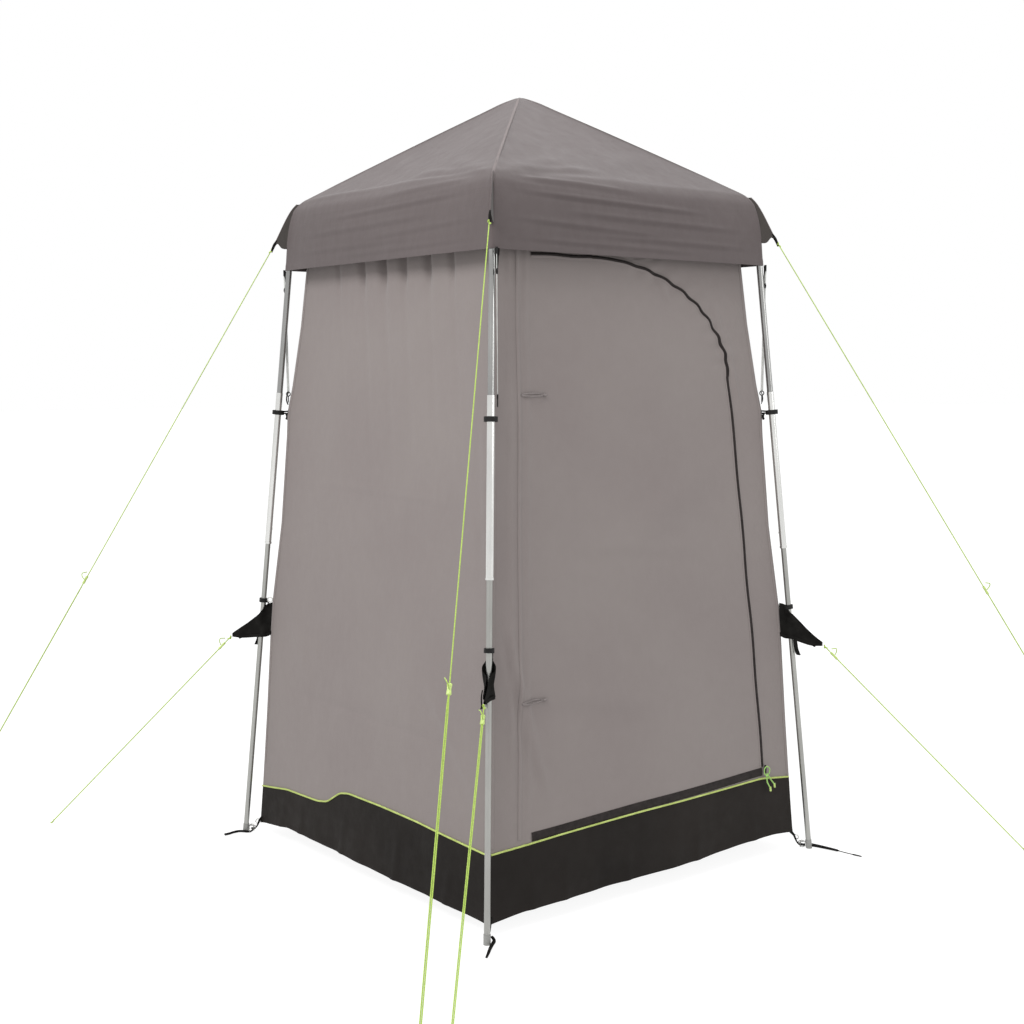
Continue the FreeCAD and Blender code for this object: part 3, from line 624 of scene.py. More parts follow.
def gather_roof(piece, face):
    """A roof face's piece rides on that face's canopy body."""
    gather(piece, "canopy_" + face)


def fit(piece, body):
    """A stiff piece and the body it rides on."""
    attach(piece, body)


# Canopy

def canopy_profile():
    """Rows from the peak to the valance's hem: (half width, height, corner radius, share of the roof)."""
    roof = smooth_path([(h, 0, z) for h, z in ROOF_RIDGE], 0.005)[:, [0, 2]]
    valance = smooth_path([(h, 0, z) for h, z in VALANCE_LINE], 0.004)[:, [0, 2]]
    rows = []
    for half, z in roof:
        radius = 0.003 + 0.010 * float(smoothstep((half - 0.38) / 0.1))
        rows.append((half, z, radius, half / roof[-1][0]))
    for half, z in valance[1:]:
        rows.append((half, z, CANOPY_CORNER_R, 1.0))
    return np.array(rows), len(roof)


def canopy_wrinkles(face, share, x, z, half):
    """How far out the canopy's cloth stands from its flat faces."""
    seed = list(FACES).index(face)
    out = ripple(x, z * 1.6, 2 + seed, 0.45, 0.0022)
    side = -1.0 if face in ("front", "back") else 1.0
    for start, end, width, height in (
            ((-0.46, 1.945), (0.05, 1.925), 0.0060, 0.0032), ((-0.45, 1.905), (0.32, 1.885), 0.0065, 0.0034),
            ((-0.30, 1.860), (0.46, 1.845), 0.0075, 0.0030), ((-0.48, 1.835), (0.15, 1.812), 0.0070, 0.0026),
            ((-0.20, 1.805), (0.50, 1.795), 0.0065, 0.0024), ((-0.46, 1.782), (0.30, 1.772), 0.0060, 0.0022)):
        strength = 1.0 if face == "front" else 0.55
        out += fold(side * -x, z, start, end, width, strength * height, 0.8)
    for start, end, width, height in (((0.05, 1.99), (0.42, 1.965), 0.010, 0.004),
                                      ((0.15, 2.02), (0.46, 1.955), 0.014, 0.004),
                                      ((-0.20, 2.07), (0.05, 1.99), 0.020, 0.003)):
        out += fold(side * x, z, start, end, width, height, 0.6)
    crisp = 0.0012 if face == "front" else 0.0036
    out += crisp * np.exp(-((z - EAVE_FOLD_Z - 0.004 * np.cos(3 * x)) / 0.007) ** 2)
    free = 1 - np.clip(np.abs(share), 0, 1) ** 8
    peak_free = smoothstep(half / 0.12)
    return out * free * peak_free


def canopy_points(face, rows, spread):
    """The canopy face's sheet: flat between its corners, and turned round each corner's radius."""
    half, z, radius, roof = (rows[:, i][:, None] for i in range(4))
    share = np.broadcast_to(spread[None, :], (len(rows), len(spread)))
    radius = np.minimum(radius, half * 0.3)
    core = half - radius
    bend = 0.06
    flat = np.clip(np.abs(share) / (1 - bend), 0, 1)
    turn = np.clip((np.abs(share) - (1 - bend)) / bend, 0, 1) * math.pi / 4
    x = np.sign(share) * (core * flat + radius * np.sin(turn))
    out = core + radius * np.cos(turn)
    sag = -0.006 * np.sin(math.pi * np.clip(roof, 0, 1)) * (1 - np.abs(share) ** 2) * (roof < 1)
    seam = 0.0009 * smoothstep((np.abs(x) - (half - 0.014)) / 0.003)
    hem = 0.0007 * smoothstep((VALANCE_Z + 0.019 - z) / 0.003)
    lift = canopy_wrinkles(face, share, x, z * np.ones_like(x), half) + sag + seam + hem
    up = lift * np.where(roof < 1, 0.84, 0.0)
    outward = lift * np.where(roof < 1, 0.54, 1.0)
    scale = 1 + outward / np.maximum(out, 0.02)
    return np.stack([x * scale, -(out * scale), z + up], axis=-1)


def build_canopy():
    rows, roof_rows = canopy_profile()
    spread = edge_spread(104, 0.05, 1.0)
    spread = np.sort(np.concatenate([spread, [-0.985, -0.965, -0.955, 0.955, 0.965, 0.985]]))
    for face, angle in FACES.items():
        points = canopy_points(face, rows, spread)
        world = turned(points, angle).reshape(points.shape)
        roof = grid_object("roof_" + face, world[:roof_rows], ROOF_CLOTH)
        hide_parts("canopy_" + face)
        gather_roof(roof, face)
        valance = grid_object("valance_" + face, world[roof_rows - 1:], ROOF_CLOTH)
        gather_valance(valance, face)


def build_ridge_seams():
    """The felled seam down each ridge, to the eave, in a lighter copy of the roof cloth that paints a
    highlight along the ridge.
    """
    for face in FACES:
        angle = CORNERS[LEG_OF_FACE[face]]
        ridge = smooth_path([(h * math.sqrt(2) - (0.0052 if h > 0.43 else 0.002), 0, z + 0.0008)
                             for h, z in ROOF_RIDGE[1:]], 0.006)
        ridge[:, 0] = np.maximum(ridge[:, 0], 0.004)
        taper = np.interp(np.arange(len(ridge)), [0, 8], [0.3, 1.0])
        seam = sweep("ridge_seam_" + face, turned(ridge, angle), strap_section(0.0075, 0.0016),
                     turned_vector(0, 1, 0, angle), SEAM_CLOTH_PAINTED_HIGHLIGHT, scale=taper)
        gather_roof(seam, face)


# Cabin walls

def build_plain_wall(face):
    """A wall with no door: one sheet from the piping to its top."""
    share, row = np.meshgrid(edge_spread(150, 0.010, 0.55), np.linspace(0, 1, 190))
    x = share * 0.555
    for _ in range(2):            # each pass fits the height to the width, and the width to the height
        bottom = follow(PIPING[face], np.clip(x, -0.6, 0.6))
        z = bottom * (1 - row) + CABIN_TOP * row
        x = share * cabin_half(z)
    points = on_wall(face, x, z)
    world = turned(points, FACES[face]).reshape(points.shape)
    wall = grid_object("wall_cloth_" + face, world, WALL_CLOTH)
    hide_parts("wall_" + face)
    gather_wall(wall, face)


def build_skirt(face):
    """The dark skirt below the piping, with its hem."""
    shares = np.concatenate([[0, 0.07, 0.085], np.linspace(0.12, 1, 24)])
    share, row = np.meshgrid(edge_spread(110, 0.010, 0.58), shares)
    x = share * SKIRT_HALF
    top = follow(PIPING[face], x)
    hem = follow(HEM[face], x)
    z = hem * (1 - row) + top * row
    x = share * cabin_half(z)
    points = on_wall(face, x, z)
    seed = list(FACES).index(face) + 11
    loose = (1 - row) * (1 - share ** 8)
    points[..., 1] -= 0.0005 + loose * ripple(x, z, seed, 0.22, 0.005)
    for place in (-0.44, -0.33, -0.10, 0.17, 0.41):
        points[..., 1] -= loose * 0.003 * np.exp(-((x - place - 0.12 * (z - 0.1)) / 0.012) ** 2)
    points[..., 1] -= 0.0008 * smoothstep((0.08 - row) / 0.02)
    world = turned(points, FACES[face]).reshape(points.shape)
    skirt = grid_object("skirt_" + face, world, SKIRT_CLOTH)
    gather_wall(skirt, face)


def build_piping(face):
    """The lime piping between wall and skirt."""
    x = np.linspace(-PIPING_HALF, PIPING_HALF, 240)
    z = follow(PIPING[face], x)
    half = cabin_half(z)
    x = np.clip(x, -half, half) * (half / PIPING_HALF)
    points = on_wall(face, x, z, 0.0016)
    path = turned(points, FACES[face])
    piping = sweep("piping_" + face, path, circle_section(PIPING_R), (0, 0, 1), PIPING_CLOTH)
    gather_wall(piping, face)


def door_left(z):
    share = (np.asarray(z, float) - DOOR_FOOT_Z[0]) / (DOOR_TOP_Z - DOOR_FOOT_Z[0])
    return DOOR_FOOT[0] + np.clip(share, 0, 1) * (DOOR_TOP_LEFT - DOOR_FOOT[0])


def door_right(z):
    """The door's right edge: straight up to the arc, then round it."""
    z = np.asarray(z, float)
    share = (z - DOOR_FOOT_Z[1]) / (DOOR_ARC_Z - DOOR_FOOT_Z[1])
    low = DOOR_FOOT[1] + share * (DOOR_ARC_X - DOOR_FOOT[1])
    rise = np.clip((z - DOOR_ARC_Z) / DOOR_ARC_TALL, 0, 1)
    arc = DOOR_ARC_X - DOOR_ARC_WIDE * (1 - np.sqrt(1 - rise ** 2))
    return np.where(z <= DOOR_ARC_Z, low, arc)


def door_wall_grid():
    """The door wall as one grid whose columns follow the door's two sides.

    Gives the points' x and z, and the first and last rows and columns of the door."""
    low = np.linspace(0, 1, 6)
    straight = DOOR_SILL_Z + (DOOR_ARC_Z - DOOR_SILL_Z) * np.linspace(0, 1, 110)
    arc = DOOR_ARC_Z + DOOR_ARC_TALL * np.sin(np.linspace(0, math.pi / 2, 64)[1:])
    heights = np.concatenate([straight, arc, np.linspace(DOOR_TOP_Z, CABIN_TOP, 7)[1:]])
    left = np.linspace(0, 1, 22)
    door = np.linspace(0, 1, 104)[1:]
    right = np.linspace(0, 1, 34)[1:]
    first = len(low) - 1
    x, z = np.zeros((2, first + len(heights), len(left) + len(door) + len(right)))
    for row in range(len(x)):
        middle = heights[row - first] if row >= first else DOOR_SILL_Z
        half = cabin_half(middle if row >= first else PIPING_Z)
        inner_left = float(door_left(min(middle, DOOR_TOP_Z)))
        inner_right = float(door_right(min(middle, DOOR_TOP_Z)))
        x[row] = np.concatenate([-half + left * (inner_left + half),
                                 inner_left + door * (inner_right - inner_left),
                                 inner_right + right * (half - inner_right)])
        tilt = (x[row] - DOOR_FOOT[0]) / (DOOR_FOOT[1] - DOOR_FOOT[0])
        bottom = DOOR_FOOT_Z[0] + np.clip(tilt, -0.1, 1.1) * (DOOR_FOOT_Z[1] - DOOR_FOOT_Z[0])
        if row >= first:
            z[row] = middle + (bottom - DOOR_SILL_Z) * (1 - smoothstep((middle - DOOR_SILL_Z) / 0.4))
        else:
            z[row] = follow(PIPING["front"], x[row]) * (1 - low[row]) + bottom * low[row]
    door_rows = (first, first + len(straight) + len(arc) - 1)
    door_columns = (len(left) - 1, len(left) - 1 + len(door))
    return x, z, door_rows, door_columns


def build_door_wall():
    x, z, rows, columns = door_wall_grid()
    half = cabin_half(z)
    x = np.clip(x, -half, half)
    x[:, 0], x[:, -1] = -half[:, 0], half[:, -1]
    points = on_wall("front", x, z)

    def inside(row, column):
        return rows[0] <= row < rows[1] and columns[0] <= column < columns[1]

    def outside(row, column):
        return not inside(row, column)

    wall = grid_object("wall_cloth_front", points, WALL_CLOTH, outside)
    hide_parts("wall_front")
    gather_wall(wall, "front")
    door = grid_object("door_cloth", points, WALL_CLOTH, inside)
    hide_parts("door_panel")
    gather_wall(door, "front", "door")


def ribbon(name, xs, zs, width, proud, material, face="front"):
    """A low band that lies on a wall along a line of (x, z) points."""
    xs, zs = np.asarray(xs, float), np.asarray(zs, float)
    dx, dz = np.gradient(xs), np.gradient(zs)
    size = np.hypot(dx, dz)
    nx, nz = -dz / size, dx / size
    across = [(-0.5, 0.0), (-0.46, 0.7), (-0.16, 0.8), (0.0, 1.0), (0.16, 0.8), (0.46, 0.7), (0.5, 0.0)]
    points = np.stack([on_wall(face, xs + nx * s * width, zs + nz * s * width, RIBBON_LIFT + proud * h)
                       for s, h in across], axis=1)
    run = np.concatenate([[0], np.cumsum(np.hypot(np.diff(xs), np.diff(zs)))])
    rows, columns = points.shape[:2]
    uv = [(float(run[r]), c / columns) for r in range(rows) for c in range(columns)]
    flat = turned(points, FACES[face])
    return mesh_object(name, flat, grid_faces(rows, columns), material, uv)


def zip_line():
    """The zip's line up the door's right side, round the arc and along the top, with its wobble."""
    up = np.linspace(DOOR_FOOT_Z[1] + 0.012, DOOR_ARC_Z, 130)
    xs, zs = list(door_right(up) + 0.0015 * np.sin(up * 21.0)), list(up)
    for angle in np.linspace(0, math.pi / 2, 90)[1:]:
        turn = float(smoothstep(angle / 0.25) * smoothstep((1.5 - angle) / 0.35))
        wobble = 1 + 0.0045 * turn * float(arc_wave(angle + 0.12))
        xs.append(DOOR_ARC_X + DOOR_ARC_WIDE * (wobble * math.cos(angle) - 1))
        zs.append(DOOR_ARC_Z + DOOR_ARC_TALL * wobble * math.sin(angle))
    for x in np.linspace(DOOR_ARC_X - DOOR_ARC_WIDE, DOOR_TOP_LEFT + 0.002, 40)[1:]:
        xs.append(x)
        zs.append(DOOR_TOP_Z + 0.0012 * math.sin(x * 40))
    return xs, zs


def build_zip():
    xs, zs = zip_line()
    track = ribbon("zip_track", xs, zs, 0.0086, 0.0032, ZIP)
    tape = ribbon("zip_tape", xs, zs, 0.020, 0.0008, WALL_CLOTH)
    along = np.linspace(DOOR_FOOT[0] + 0.002, DOOR_FOOT[1] - 0.004, 90)
    share = (along - DOOR_FOOT[0]) / (DOOR_FOOT[1] - DOOR_FOOT[0])
    heights = DOOR_FOOT_Z[0] + share * (DOOR_FOOT_Z[1] - DOOR_FOOT_Z[0]) - 0.003
    guard = ribbon("zip_guard", along, heights, 0.024, 0.0022, ZIP)
    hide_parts("door_zip")
    for piece in (track, tape, guard):
        gather_wall(piece, "front")
    (low_x, low_z), (high_x, high_z) = HINGE_SEAM
    seam_z = np.linspace(low_z, SEAM_TOP, 120)
    seam_x = low_x + (seam_z - low_z) / (high_z - low_z) * (high_x - low_x)
    seam = ribbon("hinge_seam", seam_x, seam_z, 0.011, 0.0014, WALL_CLOTH)
    gather_wall(seam, "front")


def build_corner_seams():
    """The felled seam down both sides of each wall, carried by the wall's own leg."""
    z = np.linspace(0.225, SEAM_TOP, 110)
    for face in FACES:
        for edge, side in (("a", -1), ("b", 1)):
            x = side * (cabin_half(z) - 0.007)
            seam = ribbon("corner_seam_" + face + "_" + edge, x, z, 0.010, 0.0009, WALL_CLOTH, face)
            gather_wall(seam, face)


def build_slider():
    """The zip's slider with its two lime pulls."""
    base = on_wall("front", np.array(DOOR_FOOT[1] + 0.003), np.array(0.262), 0.0085)
    pieces = []
    body = smooth_path(base + np.array([(0, 0, -0.012), (0, 0, -0.004), (0, 0, 0.004), (0, 0, 0.012)]), 0.002)
    bulge = [0.75 + 0.25 * math.sin(math.pi * t) for t in np.linspace(0, 1, len(body))]
    pieces.append(sweep("slider_body", body, strap_section(0.009, 0.005), (1, 0, 0), BLACK, scale=bulge))
    loop = [(0, 0.010), (-0.010, 0.002), (-0.009, -0.012), (0.000, -0.018), (0.010, -0.012), (0.011, 0.002),
            (0, 0.010)]
    loop = base + np.array([(x, -0.005 - 0.002 * i / 6, z) for i, (x, z) in enumerate(loop)])
    pieces.append(sweep("pull_loop", smooth_path(loop, 0.003), circle_section(0.0016), (0, -1, 0), PULL_CORD))
    for tip, knee in (((0.010, -0.056), (-0.003, -0.034)), ((0.028, -0.048), (0.012, -0.030))):
        line = [(0, -0.006, -0.012), (knee[0], -0.010, knee[1]), (tip[0], -0.011, tip[1])]
        tail = smooth_path(base + np.array(line), 0.004)
        pieces.append(sweep("pull_tail", tail, circle_section(0.0021), (0, -1, 0), PULL_CORD))
        end = smooth_path(tail[-1] + np.array([(0, 0, 0.003), (0.001, 0, -0.004), (0.002, 0, -0.010)]), 0.002)
        pieces.append(sweep("pull_end", end, circle_section(0.0032), (0, -1, 0), LIME_PLASTIC))
    slider = join("zip_slider_and_pulls", pieces)
    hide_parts("zip_slider")
    gather_wall(slider, "front", "zip_slider")


def build_buttons():
    """The leg's snap buttons, each riding on its button's body; on the real leg they sink into the tube as
    the lower leg slides up.
    """
    flat = math.hypot(1, LEG_SLOPE)
    out = np.array([1.0, 0.0, LEG_SLOPE]) / flat
    middle = np.array([leg_reach(BUTTON_Z), 0.0, BUTTON_Z])
    ends = (BUTTON_INSIDE, SLEEVE_R + BUTTON_PROUD)
    for corner, angle in CORNERS.items():
        path = turned([middle - out * r for r in np.linspace(ends[0], ends[1], 14)], angle)
        dome = [1.0] * 9 + [0.98, 0.92, 0.80, 0.58, 0.15]
        button = sweep("snap_button_" + corner, path, circle_section(BUTTON_R, 16), (0, 0, 1), STEEL,
                       scale=dome)
        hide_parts("lock_button_" + corner)
        fit(button, "button_" + corner)
        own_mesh(button)


def build_toggles():
    """The two loops that hold the rolled door back."""
    pieces = []
    for z in (0.583, 1.379):
        left = float(door_left(z)) - 0.037
        for lift, rise in ((0.003, 0.0045), (0.006, -0.0035)):
            xs = np.linspace(left, left + 0.082, 16)
            zs = z + rise * np.sin(np.linspace(0.2, math.pi, 16))
            path = on_wall("front", xs, zs, 0.0)
            path[:, 1] -= lift * np.sin(np.linspace(0.15, math.pi - 0.3, 16)) + 0.0015
            strip = sweep("toggle_strip", path, strap_section(0.0042, 0.0012), (0, 0, 1), TOGGLE_WEB)
            pieces.append(strip)
        knob = on_wall("front", np.array(left + 0.083), np.array(z - 0.0005), 0.0045)
        path = smooth_path(knob + np.array([(-0.007, 0, 0), (0, 0, 0), (0.007, 0, 0)]), 0.002)
        bulge = [0.6 + 0.4 * math.sin(math.pi * t) for t in np.linspace(0.05, 0.95, len(path))]
        pieces.append(sweep("toggle_knob", path, circle_section(0.0038), (0, 0, 1), TOGGLE_WEB, scale=bulge))
    toggles = join("door_tie_backs", pieces)
    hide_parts("door_toggles")
    gather_wall(toggles, "front", "door")


# Guylines

def corner_path(points, corner, spacing=0.01):
    return smooth_path(turned(points, CORNERS[corner]), spacing)


def guy_ends(start, reach, turn):
    end = Vector((reach * math.cos(math.radians(turn)), reach * math.sin(math.radians(turn)), GUY_END_Z))
    away = (end - start).normalized()
    return start + away * GUY_EXIT_GAP, end


def build_guy(name, node, slider_name, corner, ends, share):
    """A taut guyline: one strand down to its slider and two below it, with its knots, slider and tail."""
    angle = CORNERS[corner]
    start, end = (np.array(p) for p in ends)
    run = end - start
    length = float(np.linalg.norm(run))
    away = run / length
    side = np.cross(away, (0, 0, 1))
    side /= np.linalg.norm(side)
    over = np.cross(side, away)

    def at(t):
        return start + run * t

    def apart(t):
        return STRAND_GAP * float(smoothstep((t - share) / 0.02))

    def tied(piece_name, points, spacing, radius, hint):
        path = smooth_path(turned(points, angle), spacing)
        piece = sweep(piece_name, path, circle_section(radius), turned_vector(*hint, angle), CORD)
        return piece

    strands = []
    for sign, first in ((-1, 0.0), (1, share)):
        path = turned([at(t) + side * sign * apart(t) for t in np.linspace(first, 1, 60)], angle)
        strands.append(sweep(name + "_strand", path, circle_section(CORD_D / 2),
                             turned_vector(0, 0, 1, angle), CORD))
    cord = join(name, strands)
    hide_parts(node)
    knot = [at(0.985) + over * 0.002, at(0.99) + side * 0.004, at(0.993) - over * 0.002 - side * 0.001,
            at(0.996) - side * 0.004 + over * 0.001, at(0.999) + over * 0.0025]
    knot_piece = tied(name + "_knot", knot, 0.002, 0.0016, (0, 0, 1))
    hitch = [start + over * 0.002, start + away * 0.003 + side * 0.0035,
             start + away * 0.006 - over * 0.0035, start + away * 0.009 - side * 0.0035,
             start + away * 0.013 + over * 0.002]
    hitch_piece = tied(name + "_hitch", hitch, 0.002, 0.0021, (0, 0, 1))
    block = build_slider_block(slider_name, at(share), away, side, angle)
    tail = [at(share) + over * 0.004, at(share) + over * 0.014 - away * 0.004,
            at(share) + over * 0.020 + side * 0.004 - away * 0.012,
            at(share) + over * 0.010 + side * 0.010 - away * 0.022]
    tail_piece = tied(slider_name + "_tail", tail, 0.003, 0.0014, (0, 1, 0))
    for piece in (cord, knot_piece, hitch_piece, block, tail_piece):
        gather(piece, "leg_" + corner)
    return block


def build_slider_block(name, centre, along, side, angle):
    """The lime cord slider: a waisted bar with rounded ends."""
    ts = np.linspace(-1, 1, 15)
    path = turned([centre + along * 0.013 * t for t in ts], angle)
    waist = [0.78 + 0.22 * abs(t) if abs(t) < 0.86 else 0.8 for t in ts]
    block = sweep(name, path, strap_section(0.012, 0.0075), turned(side, angle)[0], LIME_PLASTIC, scale=waist)
    return block


def build_guys():
    for corner in GUYED_CORNERS:
        ends = guy_ends(FLAP_TIP, UPPER_GUY_REACH, UPPER_GUY_TURN[corner])
        block = build_guy("upper_guyline_" + corner, "upper_guy_" + corner, "upper_slider_" + corner, corner,
                          ends, UPPER_SLIDER_SHARE[corner])
        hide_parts("guy_sliders_" + corner)
        ends = guy_ends(TAB_TIP, LOWER_GUY_REACH, 0.0)
        build_guy("lower_guyline_" + corner, "lower_guy_" + corner, "lower_slider_" + corner, corner,
                  ends, LOWER_SLIDER_SHARE)


# Corner fittings in cloth and webbing

def leg_reach(z):
    return LEG_FOOT_REACH - LEG_SLOPE * z


def cabin_corner(z):
    return float(cabin_half(z)) * math.sqrt(2)


def corner_sheet(name, rows, corner, material):
    """A sheet from rows of points in the corner's frame."""
    points = np.array(rows, float)
    return grid_object(name, turned(points, CORNERS[corner]).reshape(points.shape), material)


def corner_strap(name, points, width, thickness, hint, corner, material, scale=None):
    """A strap through points in the corner's frame; scale is (share of its length, factor) pairs."""
    path = corner_path(points, corner, 0.004)
    taper = None if scale is None else np.interp(np.linspace(0, 1, len(path)), *zip(*scale))
    return sweep(name, path, strap_section(width, thickness), turned_vector(*hint, CORNERS[corner]), material,
                 scale=taper)


def canopy_corner(z):
    """How far the canopy's rounded corner reaches from the middle, at a height below the eave."""
    halves, heights = zip(*reversed(ROOF_RIDGE[RIDGE_EAVE:] + VALANCE_LINE[1:]))
    return float(np.interp(z, heights, halves)) * math.sqrt(2) - CANOPY_CORNER_R * (math.sqrt(2) - 1)


def build_flap(corner):
    """The canopy's corner tab: two layers sewn down the canopy's corner, with a tip for the guyline; the
    layers are a darker copy of the canopy cloth, as painted shade.
    """
    rows_down = 26
    top_z, low_z = 1.948, 1.816
    outer = smooth_path([(0.680, 0, top_z), (0.697, 0, 1.930), (0.716, 0, 1.899), (0.735, 0, 1.862),
                         (0.750, 0, 1.832), (0.7585, 0, 1.814)], 0.002)
    outer = outer[np.linspace(0, len(outer) - 1, rows_down).astype(int)]
    pieces = []
    for side in (-1, 1):
        rows = []
        for down, (ro, _, zo) in zip(np.linspace(0, 1, rows_down), outer):
            zi = top_z - down * (top_z - low_z)
            ri = canopy_corner(zi) - 0.0015
            row = []
            for t in np.linspace(0, 1, 12):
                notch = 0.017 * math.exp(-((t - 0.66) / 0.2) ** 2) * down ** 5
                open_out = 0.0050 * down * (1 - t) ** 1.4 * (1 + 0.2 * math.sin(8 * t + 5 * down))
                row.append((ri + (ro - ri) * t, side * (0.0011 + open_out), zi + (zo - zi) * t + notch))
            rows.append(row)
        # the tab's layers use the darkened canopy cloth, painted shade
        pieces.append(corner_sheet("flap_side", rows, corner, FLAP_CLOTH_PAINTED_SHADE))
    edge = [tuple(outer[i]) for i in range(0, rows_down, 3)]
    pieces.append(corner_strap("flap_edge", edge, 0.0034, 0.0030, (0, 1, 0), corner, ROOF_CLOTH))
    tip = [(0.744, 0, 1.842), (0.752, 0, 1.828), (0.7590, 0, 1.813), (0.7615, 0, 1.806)]
    pieces.append(corner_strap("flap_tip", tip, 0.0085, 0.0070, (1, 0, 0), corner, WEBBING,
                               [(0, 0.55), (0.4, 1), (1, 0.7)]))
    sewn = [(canopy_corner(z) + 0.0005, 0, z) for z in np.linspace(1.932, 1.822, 8)]
    pieces.append(corner_strap("flap_sewn", sewn, 0.010, 0.0018, (0, 1, 0), corner, ROOF_CLOTH))
    flap = join("canopy_corner_tab_" + corner, pieces)
    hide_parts("corner_webbing_" + corner)
    fit(flap, "leg_" + corner)


def build_mid_tab(corner):
    """The black tab from the cabin's corner, round the leg, to the lower guyline."""
    pieces = []
    rise = TAB_ROOT_RISE[corner]
    leg = leg_reach(0.68)
    root = cabin_corner(0.68) - 0.004
    tip = TAB_TIP.x
    ridge_reach = [root, root + 0.016, root + 0.022, leg + 0.006, leg + 0.040, leg + 0.046, tip]
    under_reach = [root, leg + 0.012, leg + 0.050, leg + 0.052, leg + 0.074, leg + 0.077, tip]
    for side in (-1, 1):
        rows = []
        for t in np.linspace(0, 1, 60):
            r = root + (tip - 0.002 - root) * t
            around = math.exp(-((r - leg) / 0.016) ** 2)
            spread = side * (0.0010 + 0.0125 * around + 0.0025 * math.sin(math.pi * t))
            ridge = np.interp(r, ridge_reach, [0.734, 0.729, 0.720, 0.700, 0.673, 0.668, 0.631])
            under = np.interp(r, under_reach, [0.640, 0.629, 0.620, 0.6235, 0.615, 0.6205, 0.621])
            lift = float(rise * (1 - smoothstep((r - leg) / 0.09)))
            rows.append([(r, spread * (1 + 0.18 * math.sin(5 * up + 11 * t)),
                          under + (ridge - under) * up + lift) for up in np.linspace(0, 1, 14)])
        pieces.append(corner_sheet("tab_layer", rows, corner, WEBBING))
        edge = [(root + 0.002, side * 0.003, 0.641 + rise), (leg - 0.016, side * 0.0105, 0.633 + rise),
                (leg + 0.002, side * 0.0150, 0.632 + rise), (leg + 0.022, side * 0.0085, 0.629 + 0.7 * rise),
                (leg + 0.060, side * 0.0030, 0.624 + 0.2 * rise), (tip - 0.006, side * 0.0018, 0.624)]
        pieces.append(corner_strap("tab_web", edge, 0.010, 0.0018, (0, 0, 1), corner, WEBBING,
                                   [(0, 1), (0.8, 1), (1, 0.7)]))
    tail = [(leg + 0.014, -0.015, 0.640), (leg + 0.016, -0.0175, 0.624), (leg + 0.019, -0.017, 0.609),
            (leg + 0.024, -0.015, 0.599), (leg + 0.029, -0.014, 0.600)]
    pieces.append(corner_strap("tab_tail", tail, 0.0125, 0.0022, (1, 0, 0), corner, WEBBING))
    hang = [(leg - 0.014, 0.0035, 0.737), (leg - 0.022, 0.004, 0.729),
            (root + 0.020, 0.004, 0.722 + 0.5 * rise), (root + 0.010, 0.004, 0.724 + rise)]
    pieces.append(corner_strap("tab_hanger", hang, 0.009, 0.0022, (0, 1, 0), corner, WEBBING))
    fit(join("mid_tab_" + corner, pieces), "leg_" + corner)
    buckle = ring_piece("tab_buckle_" + corner, (leg - 0.0265, 0.003, 0.740), 0.0072, 0.0021, (0, 1, 0.2),
                        corner, CLEAR_GREY)
    fit(buckle, "leg_" + corner)


def ring_piece(name, centre, radius, wire, normal, corner, material, squeeze=1.0):
    """A wire ring about a normal, in the corner's frame."""
    centre, normal = Vector(centre), Vector(normal).normalized()
    first = normal.orthogonal().normalized()
    second = normal.cross(first)
    points = []
    for a in np.linspace(0, 2 * math.pi, RING_STEPS, endpoint=False):
        core = centre + first * (radius * math.cos(a)) + second * (radius * squeeze * math.sin(a))
        outward = (core - centre).normalized()
        for b in np.linspace(0, 2 * math.pi, RING_SIDES, endpoint=False):
            points.append(core + outward * (wire * math.cos(b)) + normal * (wire * math.sin(b)))
    faces = []
    for i in range(RING_STEPS):
        here, there = i * RING_SIDES, (i + 1) % RING_STEPS * RING_SIDES
        for j in range(RING_SIDES):
            k = (j + 1) % RING_SIDES
            faces.append((here + j, there + j, there + k, here + k))
    return mesh_object(name, turned([tuple(p) for p in points], CORNERS[corner]), faces, material)


def build_clip_strap(corner):
    """The two short straps from the head-height clip to the cabin's corner, with a tail and a hook loop."""
    z = 1.320
    start, end = cabin_corner(z) - 0.001, leg_reach(z) - 0.0175
    pieces = []
    for rise in (-0.0035, 0.0035):
        line = [(start, 0, z + rise), ((start + end) / 2, 0, z + rise * 0.9), (end, 0, z + rise * 0.8)]
        pieces.append(corner_strap("clip_strap", line, 0.0045, 0.010, (0, 0, 1), corner, WEBBING))
    tail = [(start + 0.006, -0.005, z - 0.004), (start + 0.004, -0.006, z - 0.014),
            (start + 0.007, -0.006, z - 0.022)]
    pieces.append(corner_strap("clip_tail", tail, 0.007, 0.0016, (1, 0, 0), corner, WEBBING))
    loop = [(start - 0.003, 0, z + 0.062), (start + 0.002, 0, z + 0.050), (start + 0.003, 0, z + 0.036),
            (start - 0.001, 0, z + 0.024)]
    pieces.append(corner_strap("hook_loop", loop, 0.010, 0.0022, (0, 1, 0), corner, WEBBING))
    fit(join("clip_strap_" + corner, pieces), "leg_" + corner)


